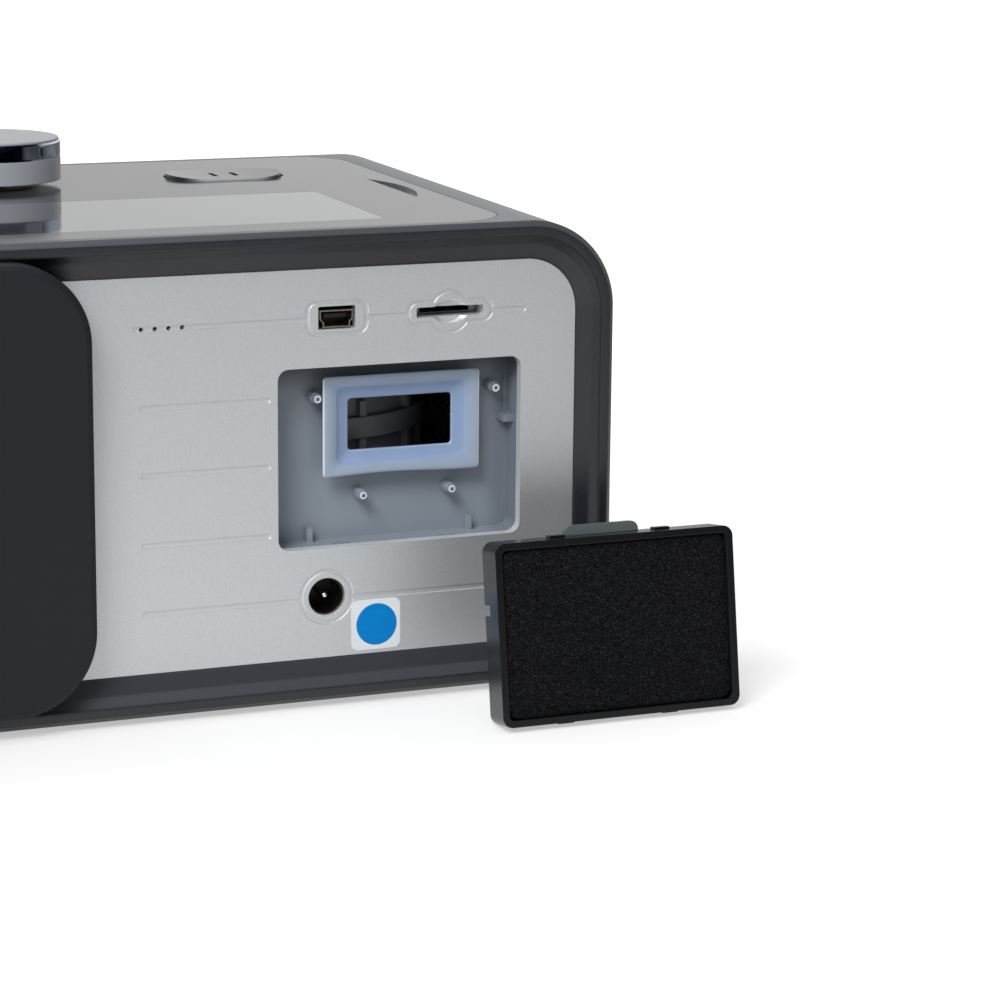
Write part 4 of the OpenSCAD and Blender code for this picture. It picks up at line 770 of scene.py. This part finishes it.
seals_low, seals_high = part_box("port_seals")
bellows_z = (seals_low.z + seals_high.z) / 2
bellows_long = (seals_high.y - seals_low.y) / mm
bellows_profile = [(9.2, 0.0), (12.5, 0.0), (12.5, 1.7), (12.2, 2.0), (10.6, 2.1), (10.4, 2.8),
                   (11.4, 3.5), (10.4, 4.2), (11.0, bellows_long - 1.0),
                   (11.9, bellows_long - 0.4), (11.9, bellows_long), (9.3, bellows_long)]
bellows_in = 12.6
bellows = [skin("bellow", turned_loops(bellows_profile, Vector((x, seals_low.y, bellows_z)), 48,
                                       "Y"), wrap=True)
           for x in (seals_low.x + bellows_in * mm, seals_high.x - bellows_in * mm)]
fit(joined("port_bellows", bellows), silicone, "housing", "silicone", "port_seals")
dress(moulded("turned_aluminium", ink(188, 190, 193), 0.28, 0.5, 0.15, 0.3, 0.12, 0.25,
              Metallic=1.0), "heater_plate", "tank_base")


# --- water tank ----------------------------------------------------------------------
# A clear drawer with an aluminium base, a soft gasket and a dark lid. Its front, painted
# as the rear cover is, has a hand grip, a level window and a grey catch.

clear = Finish(bpy.data.materials.new("clear_tank"))
clear_where = clear.add("ShaderNodeTexCoord", out="Object")
clear_haze = clear.add("ShaderNodeTexNoise", {}, {
    "Vector": clear_where, "Scale": 60.0, "Detail": 2.0})
clear_shader = clear.add("ShaderNodeBsdfPrincipled", {}, {
    "Base Color": clear.mix(clear_haze, ink(212, 226, 236), ink(232, 240, 246)),
    "Roughness": 0.06 + 0.06 * clear_haze, "Alpha": 0.32, "Specular IOR Level": 0.6})
clear.add("ShaderNodeOutputMaterial", {}, {0: clear_shader})
dress(clear, "tank_shell")
gasket_low, gasket_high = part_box("tank_gasket")
gasket_half = ((gasket_high.x - gasket_low.x) / 2 / mm, (gasket_high.y - gasket_low.y) / 2 / mm)
gasket_thick, gasket_radius = (gasket_high.z - gasket_low.z) / mm, 5.0
gasket_centre = (gasket_low + gasket_high) / 2
gasket_section = [(0.0, 0.12), (0.12, 0.0), (0.88, 0.0), (1.0, 0.12), (1.0, gasket_thick - 0.12),
                  (0.88, gasket_thick), (0.12, gasket_thick), (0.0, gasket_thick - 0.12)]
gasket_shapes = matched([(gasket_half[0] - inset, gasket_half[1] - inset, gasket_radius - inset)
                         for inset, up in gasket_section])
gasket_loops = [[Vector((gasket_centre.x + x * mm, gasket_centre.y + y * mm,
                         gasket_low.z + up * mm)) for x, y in loop]
                for (inset, up), loop in zip(gasket_section, gasket_shapes)]
fit(skin("lid_gasket", gasket_loops, wrap=True), silicone, "tank", "silicone", "tank_gasket")
dress(moulded("tank_lid_plastic", ink(54, 56, 60), 0.3, 0.4, 0.06, 0.6, 0.1, 0.3), "tank_lid")
dress(soft_touch, "tank_front")
dress(moulded("catch_grey", ink(128, 132, 138), 0.3, 0.45, 0.06, 0.4, 0.1, 0.35), "tank_latch")


# --- circuit boards ------------------------------------------------------------------
# Three green boards with copper under their solder mask: the controls', the sockets' and
# the main one over the dock. Black switches stand under the keys.

board = Finish(bpy.data.materials.new("solder_mask"))
board_where = board.add("ShaderNodeTexCoord", out="Object")
board_lines = board.add("ShaderNodeTexBrick", {}, {
    "Vector": board_where, "Scale": 160.0, "Mortar Size": 0.06, "Color1": ink(22, 84, 50),
    "Color2": ink(26, 92, 56), "Mortar": ink(54, 128, 78)})
board_shader = board.add("ShaderNodeBsdfPrincipled", {}, {
    "Base Color": board_lines, "Roughness": 0.3, "Specular IOR Level": 0.5})
board.add("ShaderNodeOutputMaterial", {}, {0: board_shader})
dress(board, "control_board", "port_board", "main_board")
dress(moulded("switch_black", ink(24, 24, 25), 0.4, 0.4, 0.1, 0.4, 0.1, 0.2), "button_switches")
